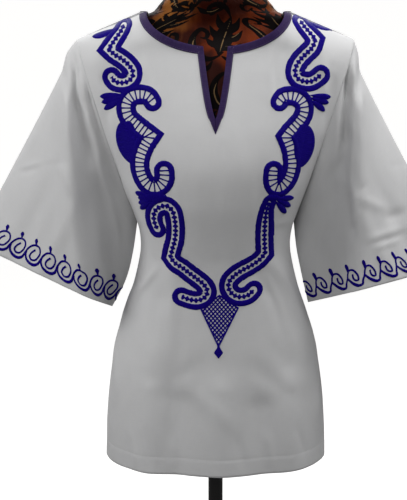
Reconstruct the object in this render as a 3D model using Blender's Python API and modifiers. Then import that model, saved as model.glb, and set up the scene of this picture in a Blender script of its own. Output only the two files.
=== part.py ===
"""Women's dashiki top with wide sleeves, worn on a limbless dress form with a pole stand.

Metres, +Z up. The front faces -Y and +X is the viewer's right. The origin is on the floor, under
the pole. The cloth is a wall of even thickness: every sewn piece is a grid of points worked out
from the body's sections, the neckline, the armhole and the sleeve's folds, and the pieces share
their seam points, so that neighbours meet edge to edge with a small gap.
"""

import math
from collections import namedtuple

import bpy
from mathutils import Vector

# Cloth wall and the gap left at every seam
WALL = 0.0015
SEAM_GAP = 0.0003
REST_GAP = 0.0006
BINDING_WALL = 0.0012

# Neckline, shoulder and hem
SHOULDER_NECK_X = 0.110
SHOULDER_NECK_Z = 1.400
SHOULDER_END_X = 0.223
SHOULDER_END_Z = 1.358
UNDERARM_X = 0.130
UNDERARM_Z = 1.060
HEM_Z = 0.664
FRONT_NECK_DROP = 0.059
BACK_NECK_DROP = 0.022
SHOULDER_ROUNDING = 0.055

# Open slit below the front neckline, and the strips that bind both
SLIT_HALF_WIDTH = 0.0195
SLIT_TIP_Z = 1.2315
SLIT_BOW = 0.65
NECK_BINDING = 0.012
SLIT_BINDING = 0.0095
SLIT_BINDING_TIP = 0.0225
BACK_BINDING_STEP = 0.018

# Armhole ring: depth of its front and back half, and how its end runs round
ARMHOLE_FRONT = 0.062
ARMHOLE_BACK = 0.058
ARMHOLE_TOP_ROUND = 0.5
ARMHOLE_FOOT_ROUND = 0.8

# Furthest a point may lie across its section, where the depth has not yet closed to nothing
MOST_ACROSS = 0.999
SHARP_ANGLE = math.radians(50)

# Grid: rows up the side seam, up the centre to the slit, up the slit and round the neckline
SIDE_ROWS = 16
CHEST_ROWS = 5
SLIT_ROWS = 4
NECK_ROWS = 6
ARMHOLE_ROWS = CHEST_ROWS + SLIT_ROWS + NECK_ROWS
COLUMNS = 12
ARMHOLE_SPACING = 1.35
NECK_SPACING = 1.5
SLEEVE_ROWS = 13
SECTION_POWER = 2.3

Section = namedtuple("Section", "z half_width front back")

# The worn cloth, section by section. Above the underarm the half width is where the chest's
# curve would close, a little outside the armhole seam.
BODY = (
    Section(0.664, 0.1870, 0.131, 0.135),
    Section(0.730, 0.1850, 0.127, 0.133),
    Section(0.810, 0.1765, 0.120, 0.128),
    Section(0.870, 0.1650, 0.115, 0.120),
    Section(0.915, 0.1510, 0.111, 0.109),
    Section(0.955, 0.1375, 0.109, 0.099),
    Section(1.005, 0.1260, 0.112, 0.092),
    Section(1.030, 0.1245, 0.117, 0.091),
    Section(1.060, 0.1300, 0.124, 0.092),
    Section(1.100, 0.1460, 0.133, 0.094),
    Section(1.150, 0.1630, 0.137, 0.098),
    Section(1.200, 0.1860, 0.128, 0.100),
    Section(1.250, 0.2090, 0.112, 0.098),
    Section(1.300, 0.2320, 0.094, 0.090),
    Section(1.338, 0.2450, 0.081, 0.080),
    Section(1.378, 0.2550, 0.076, 0.070),
    Section(1.420, 0.2650, 0.074, 0.066),
)

Fold = namedtuple("Fold", "x_top z_top x_foot z_foot width height")

# Largest folds of the body, seen from the front or the back: a ridge has a height above 0
FRONT_FOLDS = (
    Fold(-0.095, 1.000, -0.140, 0.860, 0.016, -0.0035),
    Fold(-0.060, 1.030, -0.105, 0.840, 0.018, 0.0030),
    Fold(0.095, 1.000, 0.150, 0.850, 0.016, 0.0040),
    Fold(0.070, 0.985, 0.115, 0.840, 0.016, -0.0035),
    Fold(-0.110, 0.800, -0.118, 0.650, 0.022, 0.0060),
    Fold(-0.060, 0.780, -0.062, 0.650, 0.024, -0.0055),
    Fold(0.005, 0.800, 0.010, 0.650, 0.026, 0.0050),
    Fold(0.075, 0.770, 0.080, 0.650, 0.024, -0.0050),
    Fold(0.128, 0.800, 0.138, 0.650, 0.022, 0.0055),
    Fold(-0.165, 1.290, -0.135, 1.150, 0.016, -0.0040),
    Fold(0.165, 1.290, 0.135, 1.150, 0.016, -0.0040),
)
BACK_FOLDS = (
    Fold(-0.085, 1.060, -0.120, 0.860, 0.018, 0.0040),
    Fold(-0.035, 1.080, -0.050, 0.880, 0.020, -0.0035),
    Fold(0.030, 1.070, 0.045, 0.870, 0.020, 0.0040),
    Fold(0.090, 1.040, 0.125, 0.850, 0.018, -0.0035),
    Fold(-0.120, 0.800, -0.130, 0.650, 0.024, -0.0055),
    Fold(-0.045, 0.800, -0.050, 0.650, 0.028, 0.0060),
    Fold(0.040, 0.790, 0.045, 0.650, 0.026, -0.0050),
    Fold(0.115, 0.800, 0.122, 0.650, 0.024, 0.0055),
    Fold(-0.150, 1.300, -0.100, 1.120, 0.020, -0.0040),
    Fold(0.150, 1.300, 0.100, 1.120, 0.020, -0.0040),
)

# The sleeve's upper fold from the shoulder to the outer hem corner, and its lower fold from the
# underarm to the inner hem corner. "along" runs from 0 at the armhole to 1 at the hem.
Edge = namedtuple("Edge", "along x z")
Ridge = namedtuple("Ridge", "top_x foot_x top_depth foot_depth softness")
SleeveFold = namedtuple("SleeveFold", "across_top across_foot width height")
Sleeve = namedtuple("Sleeve", "name side upper lower front_ridge back_ridge front_folds back_folds")

SLEEVES = (
    Sleeve(
        name="sleeve_right",
        side=1,
        upper=(
            Edge(0.00, SHOULDER_END_X, SHOULDER_END_Z),
            Edge(0.07, 0.2310, 1.335),
            Edge(0.16, 0.2370, 1.302),
            Edge(1.00, 0.4085, 0.989),
        ),
        lower=(
            Edge(0.00, UNDERARM_X, UNDERARM_Z),
            Edge(0.35, 0.1355, 1.014),
            Edge(0.70, 0.1460, 0.964),
            Edge(1.00, 0.1560, 0.922),
        ),
        front_ridge=Ridge(0.228, 0.236, 0.058, 0.072, 0.020),
        back_ridge=Ridge(0.250, 0.275, 0.052, 0.060, 0.026),
        front_folds=(
            SleeveFold(0.30, 0.26, 0.060, -0.0040),
            SleeveFold(0.50, 0.45, 0.050, 0.0030),
            SleeveFold(0.85, 0.82, 0.055, -0.0035),
        ),
        back_folds=(
            SleeveFold(0.30, 0.24, 0.070, -0.0040),
            SleeveFold(0.75, 0.74, 0.070, 0.0035),
        ),
    ),
    Sleeve(
        name="sleeve_left",
        side=-1,
        upper=(
            Edge(0.00, SHOULDER_END_X, SHOULDER_END_Z),
            Edge(0.07, 0.2405, 1.336),
            Edge(0.16, 0.2515, 1.303),
            Edge(1.00, 0.4060, 1.024),
        ),
        lower=(
            Edge(0.00, UNDERARM_X, UNDERARM_Z),
            Edge(0.35, 0.1385, 1.006),
            Edge(0.70, 0.1510, 0.960),
            Edge(1.00, 0.1740, 0.915),
        ),
        front_ridge=Ridge(0.244, 0.208, 0.058, 0.070, 0.020),
        back_ridge=Ridge(0.255, 0.268, 0.052, 0.062, 0.026),
        front_folds=(
            SleeveFold(0.28, 0.30, 0.060, -0.0035),
            SleeveFold(0.52, 0.50, 0.050, 0.0030),
            SleeveFold(0.84, 0.86, 0.055, -0.0030),
        ),
        back_folds=(
            SleeveFold(0.32, 0.28, 0.070, -0.0035),
            SleeveFold(0.72, 0.76, 0.070, 0.0040),
        ),
    ),
)
RIDGE_STARTS = 0.40
LEAST_RIDGE_SHARE = 0.14
SLEEVE_FULLNESS = 0.012
HEM_LIFT = 0.20
RIDGE_ROW = 10

# Dress form: sections of the padded torso, then the slope of its shoulders and its neck
FORM = (
    Section(0.716, 0.146, 0.092, 0.100),
    Section(0.724, 0.158, 0.102, 0.111),
    Section(0.760, 0.166, 0.108, 0.118),
    Section(0.810, 0.163, 0.106, 0.117),
    Section(0.860, 0.153, 0.101, 0.108),
    Section(0.910, 0.137, 0.096, 0.096),
    Section(0.960, 0.121, 0.094, 0.085),
    Section(1.010, 0.113, 0.099, 0.078),
    Section(1.060, 0.119, 0.111, 0.079),
    Section(1.100, 0.131, 0.121, 0.082),
    Section(1.150, 0.148, 0.126, 0.086),
    Section(1.200, 0.168, 0.117, 0.089),
    Section(1.250, 0.187, 0.101, 0.088),
    Section(1.300, 0.202, 0.084, 0.081),
    Section(1.335, 0.207, 0.070, 0.070),
)
FORM_SHOULDER_TOP = (
    # z, front and back half depth along the sloping shoulder
    (1.356, 0.052, 0.052),
    (1.368, 0.046, 0.046),
    (1.380, 0.044, 0.044),
    (1.391, 0.046, 0.045),
)
FORM_SHOULDER_REACH = 0.200
FORM_NECK = (
    Section(1.400, 0.1010, 0.048, 0.048),
    Section(1.410, 0.0920, 0.051, 0.051),
    Section(1.422, 0.0815, 0.052, 0.053),
    Section(1.440, 0.0705, 0.052, 0.054),
    Section(1.465, 0.0625, 0.052, 0.055),
    Section(1.497, 0.0600, 0.053, 0.056),
)
FORM_AROUND = 40
FORM_POWER = 2.15
NECK_CAP_THICKNESS = 0.008
NECK_CAP_OVERHANG = 0.002
NECK_CAP_LEVELS = (
    # height above the neck, and how much smaller than the overhang
    (0.0, 0.0015),
    (0.0015, 0.0),
    (NECK_CAP_THICKNESS - 0.003, 0.0),
    (NECK_CAP_THICKNESS, 0.003),
)

# Stand: a round plate, a collar, the pole and the flange under the form
BASE_RADIUS = 0.180
BASE_THICKNESS = 0.010
BASE_ROUND = 0.006
BASE_FOOT_CHAMFER = 0.001
POLE_RADIUS = 0.0125
COLLAR_RADIUS = 0.026
COLLAR_SKIRT = 0.004
COLLAR_HEIGHT = 0.030
COLLAR_WALL = 0.007
COLLAR_ROUND = 0.002
FLANGE_RADIUS = 0.045
FLANGE_THICKNESS = 0.008
FLANGE_ROUND = 0.002
FLANGE_NECK_RADIUS = 0.020
FLANGE_NECK_HEIGHT = 0.035
FLANGE_NECK_FLARE = 0.003
TURNED_STEPS = 48

COTTON = (0.62, 0.62, 0.63, 1.0)
PURPLE = (0.020, 0.008, 0.055, 1.0)
RUST = (0.16, 0.035, 0.010, 1.0)
BLACK = (0.006, 0.005, 0.005, 1.0)


def clear_scene():
    for item in list(bpy.data.objects):
        bpy.data.objects.remove(item, do_unlink=True)


def new_collection(name):
    collection = bpy.data.collections.new(name)
    bpy.context.scene.collection.children.link(collection)
    return collection


def material(name, color, roughness, metallic=0.0):
    made = bpy.data.materials.new(name)
    made.use_nodes = True
    shader = made.node_tree.nodes["Principled BSDF"]
    shader.inputs["Base Color"].default_value = color
    shader.inputs["Roughness"].default_value = roughness
    shader.inputs["Metallic"].default_value = metallic
    made.diffuse_color = color
    return made


def curve_through(rows, position, place):
    """Smooth value of the rows' column numbers at a place along their first column."""
    knots = [row[0] for row in rows]
    values = [row[position] for row in rows]
    place = min(max(place, knots[0]), knots[-1])
    index = 0
    while index < len(knots) - 2 and place > knots[index + 1]:
        index += 1

    def slope(i):
        low = max(i - 1, 0)
        high = min(i + 1, len(knots) - 1)
        return (values[high] - values[low]) / (knots[high] - knots[low])

    span = knots[index + 1] - knots[index]
    t = (place - knots[index]) / span
    start = slope(index) * span
    end = slope(index + 1) * span
    a = 2 * values[index] - 2 * values[index + 1] + start + end
    b = -3 * values[index] + 3 * values[index + 1] - 2 * start - end
    return ((a * t + b) * t + start) * t + values[index]


def smooth_step(value):
    value = min(max(value, 0.0), 1.0)
    return value * value * (3 - 2 * value)


def soft_minimum(a, b, softness):
    near = max(softness - abs(a - b), 0.0) / softness
    return min(a, b) - near * near * softness / 4


def fold_height(folds, x, z):
    """Sum of the ridges and troughs of one layer at a place seen from the front."""
    total = 0.0
    for fold in folds:
        along = Vector((fold.x_foot - fold.x_top, fold.z_foot - fold.z_top))
        offset = Vector((x - fold.x_top, z - fold.z_top))
        t = min(max(offset.dot(along) / along.length_squared, 0.0), 1.0)
        away = (offset - along * t).length / fold.width
        total += fold.height * math.exp(-away * away)
    return total


def shoulder_z(x):
    slope = (SHOULDER_NECK_Z - SHOULDER_END_Z) / (SHOULDER_END_X - SHOULDER_NECK_X)
    return SHOULDER_NECK_Z - slope * (abs(x) - SHOULDER_NECK_X)


def lens(share, peak):
    """Depth of the armhole's curve, round at the shoulder and closing at the underarm."""
    top, foot = ARMHOLE_TOP_ROUND, ARMHOLE_FOOT_ROUND
    at_peak = (top / (top + foot)) ** top * (foot / (top + foot)) ** foot
    return peak * share**top * (1 - share) ** foot / at_peak


def armhole_point(side, share, layer):
    x = SHOULDER_END_X + (UNDERARM_X - SHOULDER_END_X) * share
    z = SHOULDER_END_Z + (UNDERARM_Z - SHOULDER_END_Z) * share
    depth = lens(share, ARMHOLE_FRONT if layer == "front" else ARMHOLE_BACK)
    return Vector((side * x, -depth if layer == "front" else depth, z))


def armhole_share(row):
    """Share down the armhole for a row counted up from the underarm."""
    return ((ARMHOLE_ROWS - row) / ARMHOLE_ROWS) ** ARMHOLE_SPACING


def body_depth(x, z, layer):
    """How far the body's cloth stands from the shoulder plane at a place seen from the front."""
    reach = curve_through(BODY, 1, z)
    depth = curve_through(BODY, 2 if layer == "front" else 3, z)
    across = min(abs(x) / reach, MOST_ACROSS)
    full = depth * (1 - across**SECTION_POWER) ** (1 / SECTION_POWER)
    below = min(max(shoulder_z(x) - z, 0.0) / SHOULDER_ROUNDING, 1.0)
    return full * math.sqrt(1 - (1 - below) ** 2)


def neckline_point(row, drop):
    """Point of a neckline, and the direction away from it, for a row counted down from the shoulder."""
    last = math.acos(SLIT_HALF_WIDTH / SHOULDER_NECK_X) if drop == FRONT_NECK_DROP else math.pi / 2
    angle = last * (row / NECK_ROWS) ** NECK_SPACING
    place = (SHOULDER_NECK_X * math.cos(angle), SHOULDER_NECK_Z - drop * math.sin(angle))
    away = Vector((math.cos(angle) / SHOULDER_NECK_X, -math.sin(angle) / drop)).normalized()
    return place, away


def edge_points(row, layer):
    """The free edge of a half panel in one row, and the binding's other edge, both as x and z."""
    if layer == "back":
        top_of_centre = SHOULDER_NECK_Z - BACK_NECK_DROP
        below_binding = top_of_centre - NECK_BINDING
        centre_rows = CHEST_ROWS + SLIT_ROWS
        if row < centre_rows:
            z = UNDERARM_Z + (below_binding - UNDERARM_Z) * row / (centre_rows - 1)
            return (0.0, z), None
        if row == centre_rows:
            return (0.0, top_of_centre), (BACK_BINDING_STEP, below_binding)
        place, away = neckline_point(ARMHOLE_ROWS - row, BACK_NECK_DROP)
        return place, (place[0] + away.x * NECK_BINDING, place[1] + away.y * NECK_BINDING)
    if row < CHEST_ROWS:
        below_tip = SLIT_TIP_Z - SLIT_BINDING_TIP
        z = UNDERARM_Z + (below_tip - UNDERARM_Z) * row / (CHEST_ROWS - 1)
        return (0.0, z), None
    (corner_x, corner_z), away = neckline_point(NECK_ROWS, FRONT_NECK_DROP)
    if row <= CHEST_ROWS + SLIT_ROWS:
        up = (row - CHEST_ROWS) / SLIT_ROWS
        x = corner_x * up**SLIT_BOW
        z = SLIT_TIP_Z + (corner_z - SLIT_TIP_Z) * up
        lowered = NECK_BINDING if row == CHEST_ROWS + SLIT_ROWS else 0.0
        return (x, z), (x + SLIT_BINDING, z - lowered)
    place, away = neckline_point(ARMHOLE_ROWS - row, FRONT_NECK_DROP)
    return place, (place[0] + away.x * NECK_BINDING, place[1] + away.y * NECK_BINDING)


def body_row(side, row, layer):
    """Points of one row of a half panel, from the centre or the neck edge out to the seam."""
    sign = -1 if layer == "front" else 1
    folds = FRONT_FOLDS if layer == "front" else BACK_FOLDS
    points = []
    if row < SIDE_ROWS:
        z = HEM_Z + (UNDERARM_Z - HEM_Z) * row / SIDE_ROWS
        reach = curve_through(BODY, 1, z)
        depth = curve_through(BODY, 2 if layer == "front" else 3, z)
        for column in range(COLUMNS + 1):
            turn = math.pi / 2 * column / COLUMNS
            across = math.sin(turn) ** (2 / SECTION_POWER)
            x = side * reach * across
            lift = fold_height(folds, x, z) * (1 - across**4)
            out = depth * max(math.cos(turn), 0.0) ** (2 / SECTION_POWER)
            points.append(Vector((x, sign * (out + lift), z)))
        points[-1].y = 0.0
        return points
    step = row - SIDE_ROWS
    start, offset = edge_points(step, layer)
    end = armhole_point(side, armhole_share(step), layer)
    if offset is None:
        offset = tuple(
            a + (b - a) * math.sin(math.pi / 2 / COLUMNS) for a, b in zip(start, (abs(end.x), end.z))
        )
    missing = body_depth(end.x, end.z, layer) - abs(end.y)
    for column in range(COLUMNS + 1):
        if column == 0:
            x, z = start
        else:
            first = math.sin(math.pi / 2 / COLUMNS)
            share = (math.sin(math.pi / 2 * column / COLUMNS) - first) / (1 - first)
            x = offset[0] + (abs(end.x) - offset[0]) * share
            z = offset[1] + (end.z - offset[1]) * share
        across = column / COLUMNS
        fade = (1 - across**4) * min(max(shoulder_z(x) - z, 0.0) / SHOULDER_ROUNDING, 1.0)
        out = body_depth(x, z, layer) - missing * across**3
        out += fold_height(folds, side * x, z) * fade
        points.append(Vector((side * x, sign * max(out, 0.0), z)))
    points[-1] = end
    if row == SIDE_ROWS + ARMHOLE_ROWS:
        for point in points:
            point.y = 0.0
    return points


def sleeve_share(row, at_ridge):
    """Share across the sleeve for a row of the armhole, with one row kept on the ridge."""
    share = armhole_share(row)
    own = armhole_share(RIDGE_ROW)
    at_ridge = max(at_ridge, own)
    if share <= own:
        return share * at_ridge / own
    return 1 - (1 - share) * (1 - at_ridge) / (1 - own)


def sleeve_point(sleeve, along, row, layer):
    """Point of a sleeve: along from armhole to hem, row from its lower to its upper fold."""
    upper_x = curve_through(sleeve.upper, 1, along)
    upper_z = curve_through(sleeve.upper, 2, along)
    lower_x = curve_through(sleeve.lower, 1, along)
    lower_z = curve_through(sleeve.lower, 2, along)
    front = layer == "front"
    ridge = sleeve.front_ridge if front else sleeve.back_ridge
    ridge_x = ridge.top_x + (ridge.foot_x - ridge.top_x) * along
    at_ridge = max((upper_x - ridge_x) / (upper_x - lower_x), LEAST_RIDGE_SHARE)
    share = sleeve_share(row, at_ridge)
    height = ridge.top_depth + (ridge.foot_depth - ridge.top_depth) * along
    rise = height * share / at_ridge
    fall = height * (1 - share) / (1 - at_ridge)
    folded = soft_minimum(rise, fall, ridge.softness)
    folded += SLEEVE_FULLNESS * math.sqrt(4 * share * (1 - share))
    round_depth = lens(share, ARMHOLE_FRONT if front else ARMHOLE_BACK)
    change = smooth_step(along / RIDGE_STARTS)
    depth = round_depth + (folded - round_depth) * change
    for fold in sleeve.front_folds if front else sleeve.back_folds:
        place = fold.across_top + (fold.across_foot - fold.across_top) * along
        away = (share - place) / fold.width
        seam_free = 4 * share * (1 - share)
        depth += fold.height * math.exp(-away * away) * change * along * seam_free
    x = upper_x + (lower_x - upper_x) * share
    z = upper_z + (lower_z - upper_z) * share + HEM_LIFT * depth * along * along
    return Vector((sleeve.side * x, -depth if front else depth, z))


class Garment:
    """All outer points of the cloth, shared along the seams, and the faces of each piece."""

    def __init__(self):
        self.points = []
        self.index = {}
        self.pieces = {}

    def corner(self, point):
        key = tuple(round(value, 6) for value in point)
        if key not in self.index:
            self.index[key] = len(self.points)
            self.points.append(point.copy())
        return self.index[key]

    def add(self, piece, corners):
        face = []
        for point in corners:
            number = self.corner(point)
            if number not in face:
                face.append(number)
        if len(face) == 4:
            a, b, c, d = (self.points[i] for i in face)
            if (c - a).length > (d - b).length:
                face = face[1:] + face[:1]
            faces = [face[:3], [face[0], face[2], face[3]]]
        else:
            faces = [face] if len(face) == 3 else []
        self.pieces.setdefault(piece, []).extend(faces)

    def add_grid(self, piece, rows, turned, closed=False):
        """Quads between neighbouring rows of points. turned swaps the side that faces out."""
        for below, above in zip(rows, rows[1:]):
            count = len(below)
            for i in range(count if closed else count - 1):
                j = (i + 1) % count
                corners = [below[i], below[j], above[j], above[i]]
                self.add(piece, corners[::-1] if turned else corners)

    def normals(self, groups):
        """Direction out of the cloth at each corner, halfway between the groups that meet there."""
        total = [Vector() for _ in self.points]
        for group in groups:
            part = [Vector() for _ in self.points]
            for name in group:
                for face in self.pieces[name]:
                    a, b, c = (self.points[i] for i in face)
                    area = (b - a).cross(c - a)
                    for i in face:
                        part[i] += area
            for i, vector in enumerate(part):
                total[i] += vector.normalized()
        return [vector.normalized() for vector in total]

    def seam_corners(self, name):
        """Corners that this piece shares with another piece of cloth."""
        mine = {i for face in self.pieces[name] for i in face}
        others = {i for other, faces in self.pieces.items() if other != name for f in faces for i in f}
        return mine & others

    def pulled_back(self, name, seam, normals):
        """Where each corner goes so that half the seam gap lies on this piece's side."""
        inner = {i: Vector() for i in seam}
        round_it = {i: Vector() for i in seam}
        for face in self.pieces[name]:
            for i in seam.intersection(face):
                for j in face:
                    round_it[i] += self.points[j] - self.points[i]
                    if j not in seam:
                        inner[i] += self.points[j] - self.points[i]
        moved = {}
        for i in seam:
            way = inner[i] if inner[i].length > 0 else round_it[i]
            way -= normals[i] * way.dot(normals[i])
            if way.length > 0:
                moved[i] = self.points[i] + way.normalized() * SEAM_GAP / 2
        return moved


def wall_mesh(name, points, faces, normals, moved, near, far):
    """Closed wall between two offsets of the same faces, with a rim round every free edge."""
    used = sorted({i for face in faces for i in face})
    number = {old: new for new, old in enumerate(used)}
    size = len(used)
    base = [moved.get(i, points[i]) for i in used]
    corners = [base[number[i]] + normals[i] * near for i in used]
    corners += [base[number[i]] + normals[i] * far for i in used]
    shell = [[number[i] for i in face] for face in faces]
    shell += [[number[i] + size for i in reversed(face)] for face in faces]
    edges = [(number[a], number[b]) for face in faces for a, b in zip(face, face[1:] + face[:1])]
    paired = set(edges)
    for a, b in edges:
        if (b, a) in paired:
            continue
        if (corners[a] - corners[b + size]).length < (corners[b] - corners[a + size]).length:
            shell += [[b, a, b + size], [a, a + size, b + size]]
        else:
            shell += [[b, a, a + size], [b, a + size, b + size]]
    mesh = bpy.data.meshes.new(name)
    mesh.from_pydata([tuple(point) for point in corners], [], shell)
    mesh.validate()
    return mesh


def place_mesh(name, mesh, finish, collection):
    mesh.materials.append(finish)
    mesh.shade_smooth()
    mesh.set_sharp_from_angle(angle=SHARP_ANGLE)
    item = bpy.data.objects.new(name, mesh)
    collection.objects.link(item)
    return item


def cut_garment():
    """Front, back and both sleeves as grids that share their seam points."""
    garment = Garment()
    rows = range(SIDE_ROWS + ARMHOLE_ROWS + 1)
    for layer in ("front", "back"):
        for side in (1, -1):
            grid = [body_row(side, row, layer) for row in rows]
            garment.add_grid(layer + "_panel", grid, turned=(side == 1) != (layer == "front"))
    for sleeve in SLEEVES:
        rings = []
        up_front = range(ARMHOLE_ROWS + 1)
        down_back = range(ARMHOLE_ROWS - 1, 0, -1)
        for step in range(SLEEVE_ROWS + 1):
            along = step / SLEEVE_ROWS
            front = [sleeve_point(sleeve, along, row, "front") for row in up_front]
            back = [sleeve_point(sleeve, along, row, "back") for row in down_back]
            rings.append(front + back)
        garment.add_grid(sleeve.name, rings, turned=sleeve.side == 1, closed=True)
    return garment


def make_cloth(collection, cotton):
    garment = cut_garment()
    names = list(garment.pieces)
    groups = (("front_panel", "back_panel"), ("sleeve_right",), ("sleeve_left",))
    normals = garment.normals(groups)
    for name in names:
        moved = garment.pulled_back(name, garment.seam_corners(name), normals)
        mesh = wall_mesh(name, garment.points, garment.pieces[name], normals, moved, 0.0, -WALL)
        place_mesh(name, mesh, cotton, collection)
    return garment, normals


def make_binding(garment, normals, collection, purple):
    """One strip round the neck and down both sides of the slit, lying on the panels' own points."""
    strip = "neck_binding"
    for layer in ("front", "back"):
        first = SIDE_ROWS + CHEST_ROWS + (0 if layer == "front" else SLIT_ROWS)
        for side in (1, -1):
            turned = (side == 1) != (layer == "front")
            rows = [body_row(side, row, layer) for row in range(first, SIDE_ROWS + ARMHOLE_ROWS + 1)]
            garment.add_grid(strip, [row[:2] for row in rows], turned=turned)
            tip = body_row(side, first - 1, layer)[0]
            corners = [tip, rows[0][1], rows[0][0]]
            garment.add(strip, corners[::-1] if turned else corners)
    faces = garment.pieces.pop(strip)
    near = SEAM_GAP
    mesh = wall_mesh(strip, garment.points, faces, normals, {}, near + BINDING_WALL, near)
    place_mesh(strip, mesh, purple, collection)


def form_sections():
    """Every section of the dress form, from its flat foot up to the top of its neck."""
    slope = (SHOULDER_NECK_Z - SHOULDER_END_Z) / (SHOULDER_END_X - SHOULDER_NECK_X)
    drop = (WALL + REST_GAP) * math.sqrt(1 + slope * slope)
    sections = list(FORM)
    for z, front, back in FORM_SHOULDER_TOP:
        reach = SHOULDER_NECK_X + (SHOULDER_NECK_Z - drop - z) / slope
        sections.append(Section(z, min(reach, FORM_SHOULDER_REACH), front, back))
    return sections + list(FORM_NECK)


def form_ring(section, grow=0.0):
    ring = []
    for step in range(FORM_AROUND):
        turn = 2 * math.pi * step / FORM_AROUND
        across = math.copysign(abs(math.cos(turn)) ** (2 / FORM_POWER), math.cos(turn))
        out = math.copysign(abs(math.sin(turn)) ** (2 / FORM_POWER), math.sin(turn))
        depth = section.back if out > 0 else section.front
        ring.append(Vector(((section.half_width + grow) * across, (depth + grow) * out, section.z)))
    return ring


def stack(name, rings, finish, collection):
    """Closed solid through a pile of rings with the same number of points."""
    points = [tuple(point) for ring in rings for point in ring]
    count = len(rings[0])
    faces = [list(range(count))[::-1]]
    for level in range(len(rings) - 1):
        for i in range(count):
            j = (i + 1) % count
            low, high = level * count, (level + 1) * count
            faces.append([low + i, low + j, high + j, high + i])
    top = (len(rings) - 1) * count
    faces.append([top + i for i in range(count)])
    mesh = bpy.data.meshes.new(name)
    mesh.from_pydata(points, [], faces)
    return place_mesh(name, mesh, finish, collection)


def make_form(collection, cover, black):
    sections = form_sections()
    stack("form_torso", [form_ring(section) for section in sections], cover, collection)
    top = sections[-1]
    foot = top.z + SEAM_GAP
    rings = [
        form_ring(top._replace(z=foot + up), NECK_CAP_OVERHANG - inset) for up, inset in NECK_CAP_LEVELS
    ]
    stack("neck_cap", rings, black, collection)


def turned(name, profile, finish, collection):
    """Round solid: a profile of (radius, z) from the axis or bore, down its outer side, and back."""
    mesh = bpy.data.meshes.new(name)
    points = [(radius, 0.0, z) for radius, z in profile]
    hollow = profile[0][0] > 0
    edges = [(i, i + 1) for i in range(len(points) - 1)]
    if hollow:
        edges.append((len(points) - 1, 0))
    mesh.from_pydata(points, edges, [])
    item = bpy.data.objects.new(name, mesh)
    mesh.materials.append(finish)
    collection.objects.link(item)
    screw = item.modifiers.new("turn", "SCREW")
    screw.steps = TURNED_STEPS
    screw.render_steps = TURNED_STEPS
    screw.use_merge_vertices = True
    screw.merge_threshold = 0.00001
    screw.use_smooth_shade = False
    return item


def make_stand(collection, black):
    form_foot = FORM[0].z
    turned(
        "base_plate",
        (
            (0.0, BASE_THICKNESS),
            (BASE_RADIUS - BASE_ROUND, BASE_THICKNESS),
            (BASE_RADIUS - 0.3 * BASE_ROUND, BASE_THICKNESS - 0.3 * BASE_ROUND),
            (BASE_RADIUS, BASE_THICKNESS - BASE_ROUND),
            (BASE_RADIUS, BASE_FOOT_CHAMFER),
            (BASE_RADIUS - BASE_FOOT_CHAMFER, 0.0),
            (0.0, 0.0),
        ),
        black,
        collection,
    )
    pole_foot = BASE_THICKNESS + SEAM_GAP
    pole_top = form_foot - SEAM_GAP
    turned(
        "pole",
        ((0.0, pole_top), (POLE_RADIUS, pole_top), (POLE_RADIUS, pole_foot), (0.0, pole_foot)),
        black,
        collection,
    )
    bore = POLE_RADIUS + SEAM_GAP
    turned(
        "base_collar",
        (
            (bore, pole_foot + COLLAR_HEIGHT),
            (POLE_RADIUS + COLLAR_WALL - COLLAR_ROUND, pole_foot + COLLAR_HEIGHT),
            (POLE_RADIUS + COLLAR_WALL, pole_foot + COLLAR_HEIGHT - COLLAR_ROUND),
            (POLE_RADIUS + COLLAR_WALL, pole_foot + 2.5 * COLLAR_SKIRT),
            (COLLAR_RADIUS, pole_foot + COLLAR_SKIRT),
            (COLLAR_RADIUS, pole_foot),
            (bore, pole_foot),
        ),
        black,
        collection,
    )
    flange_top = form_foot - SEAM_GAP
    turned(
        "form_flange",
        (
            (bore, flange_top),
            (FLANGE_RADIUS, flange_top),
            (FLANGE_RADIUS, flange_top - FLANGE_THICKNESS + FLANGE_ROUND),
            (FLANGE_RADIUS - FLANGE_ROUND, flange_top - FLANGE_THICKNESS),
            (FLANGE_NECK_RADIUS + FLANGE_NECK_FLARE, flange_top - FLANGE_THICKNESS - FLANGE_ROUND),
            (FLANGE_NECK_RADIUS, flange_top - FLANGE_THICKNESS - 3 * FLANGE_ROUND),
            (FLANGE_NECK_RADIUS, flange_top - FLANGE_NECK_HEIGHT),
            (bore, flange_top - FLANGE_NECK_HEIGHT),
        ),
        black,
        collection,
    )


clear_scene()
dashiki = new_collection("dashiki_on_form")
cotton = material("cotton", COTTON, 0.75)
purple = material("binding", PURPLE, 0.70)
cover = material("form_cover", RUST, 0.45)
black = material("stand", BLACK, 0.15)

cloth, cloth_normals = make_cloth(dashiki, cotton)
make_binding(cloth, cloth_normals, dashiki, purple)
make_form(dashiki, cover, black)
make_stand(dashiki, black)
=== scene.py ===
"""Looks of a women's dashiki top with wide sleeves, worn on a limbless dress form with a pole stand.

Metres, +Z up. The front faces -Y and +X is the viewer's right. The file follows the object as it
is put together: the stand, the padded form, the sewn cloth, the binding, the embroidery, the
machine stitching, the figure of the form's cover, and last the studio round it.
"""

import math
from collections import namedtuple
from functools import partial

import bpy
import numpy as np
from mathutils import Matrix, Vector, noise
from mathutils.bvhtree import BVHTree


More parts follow.
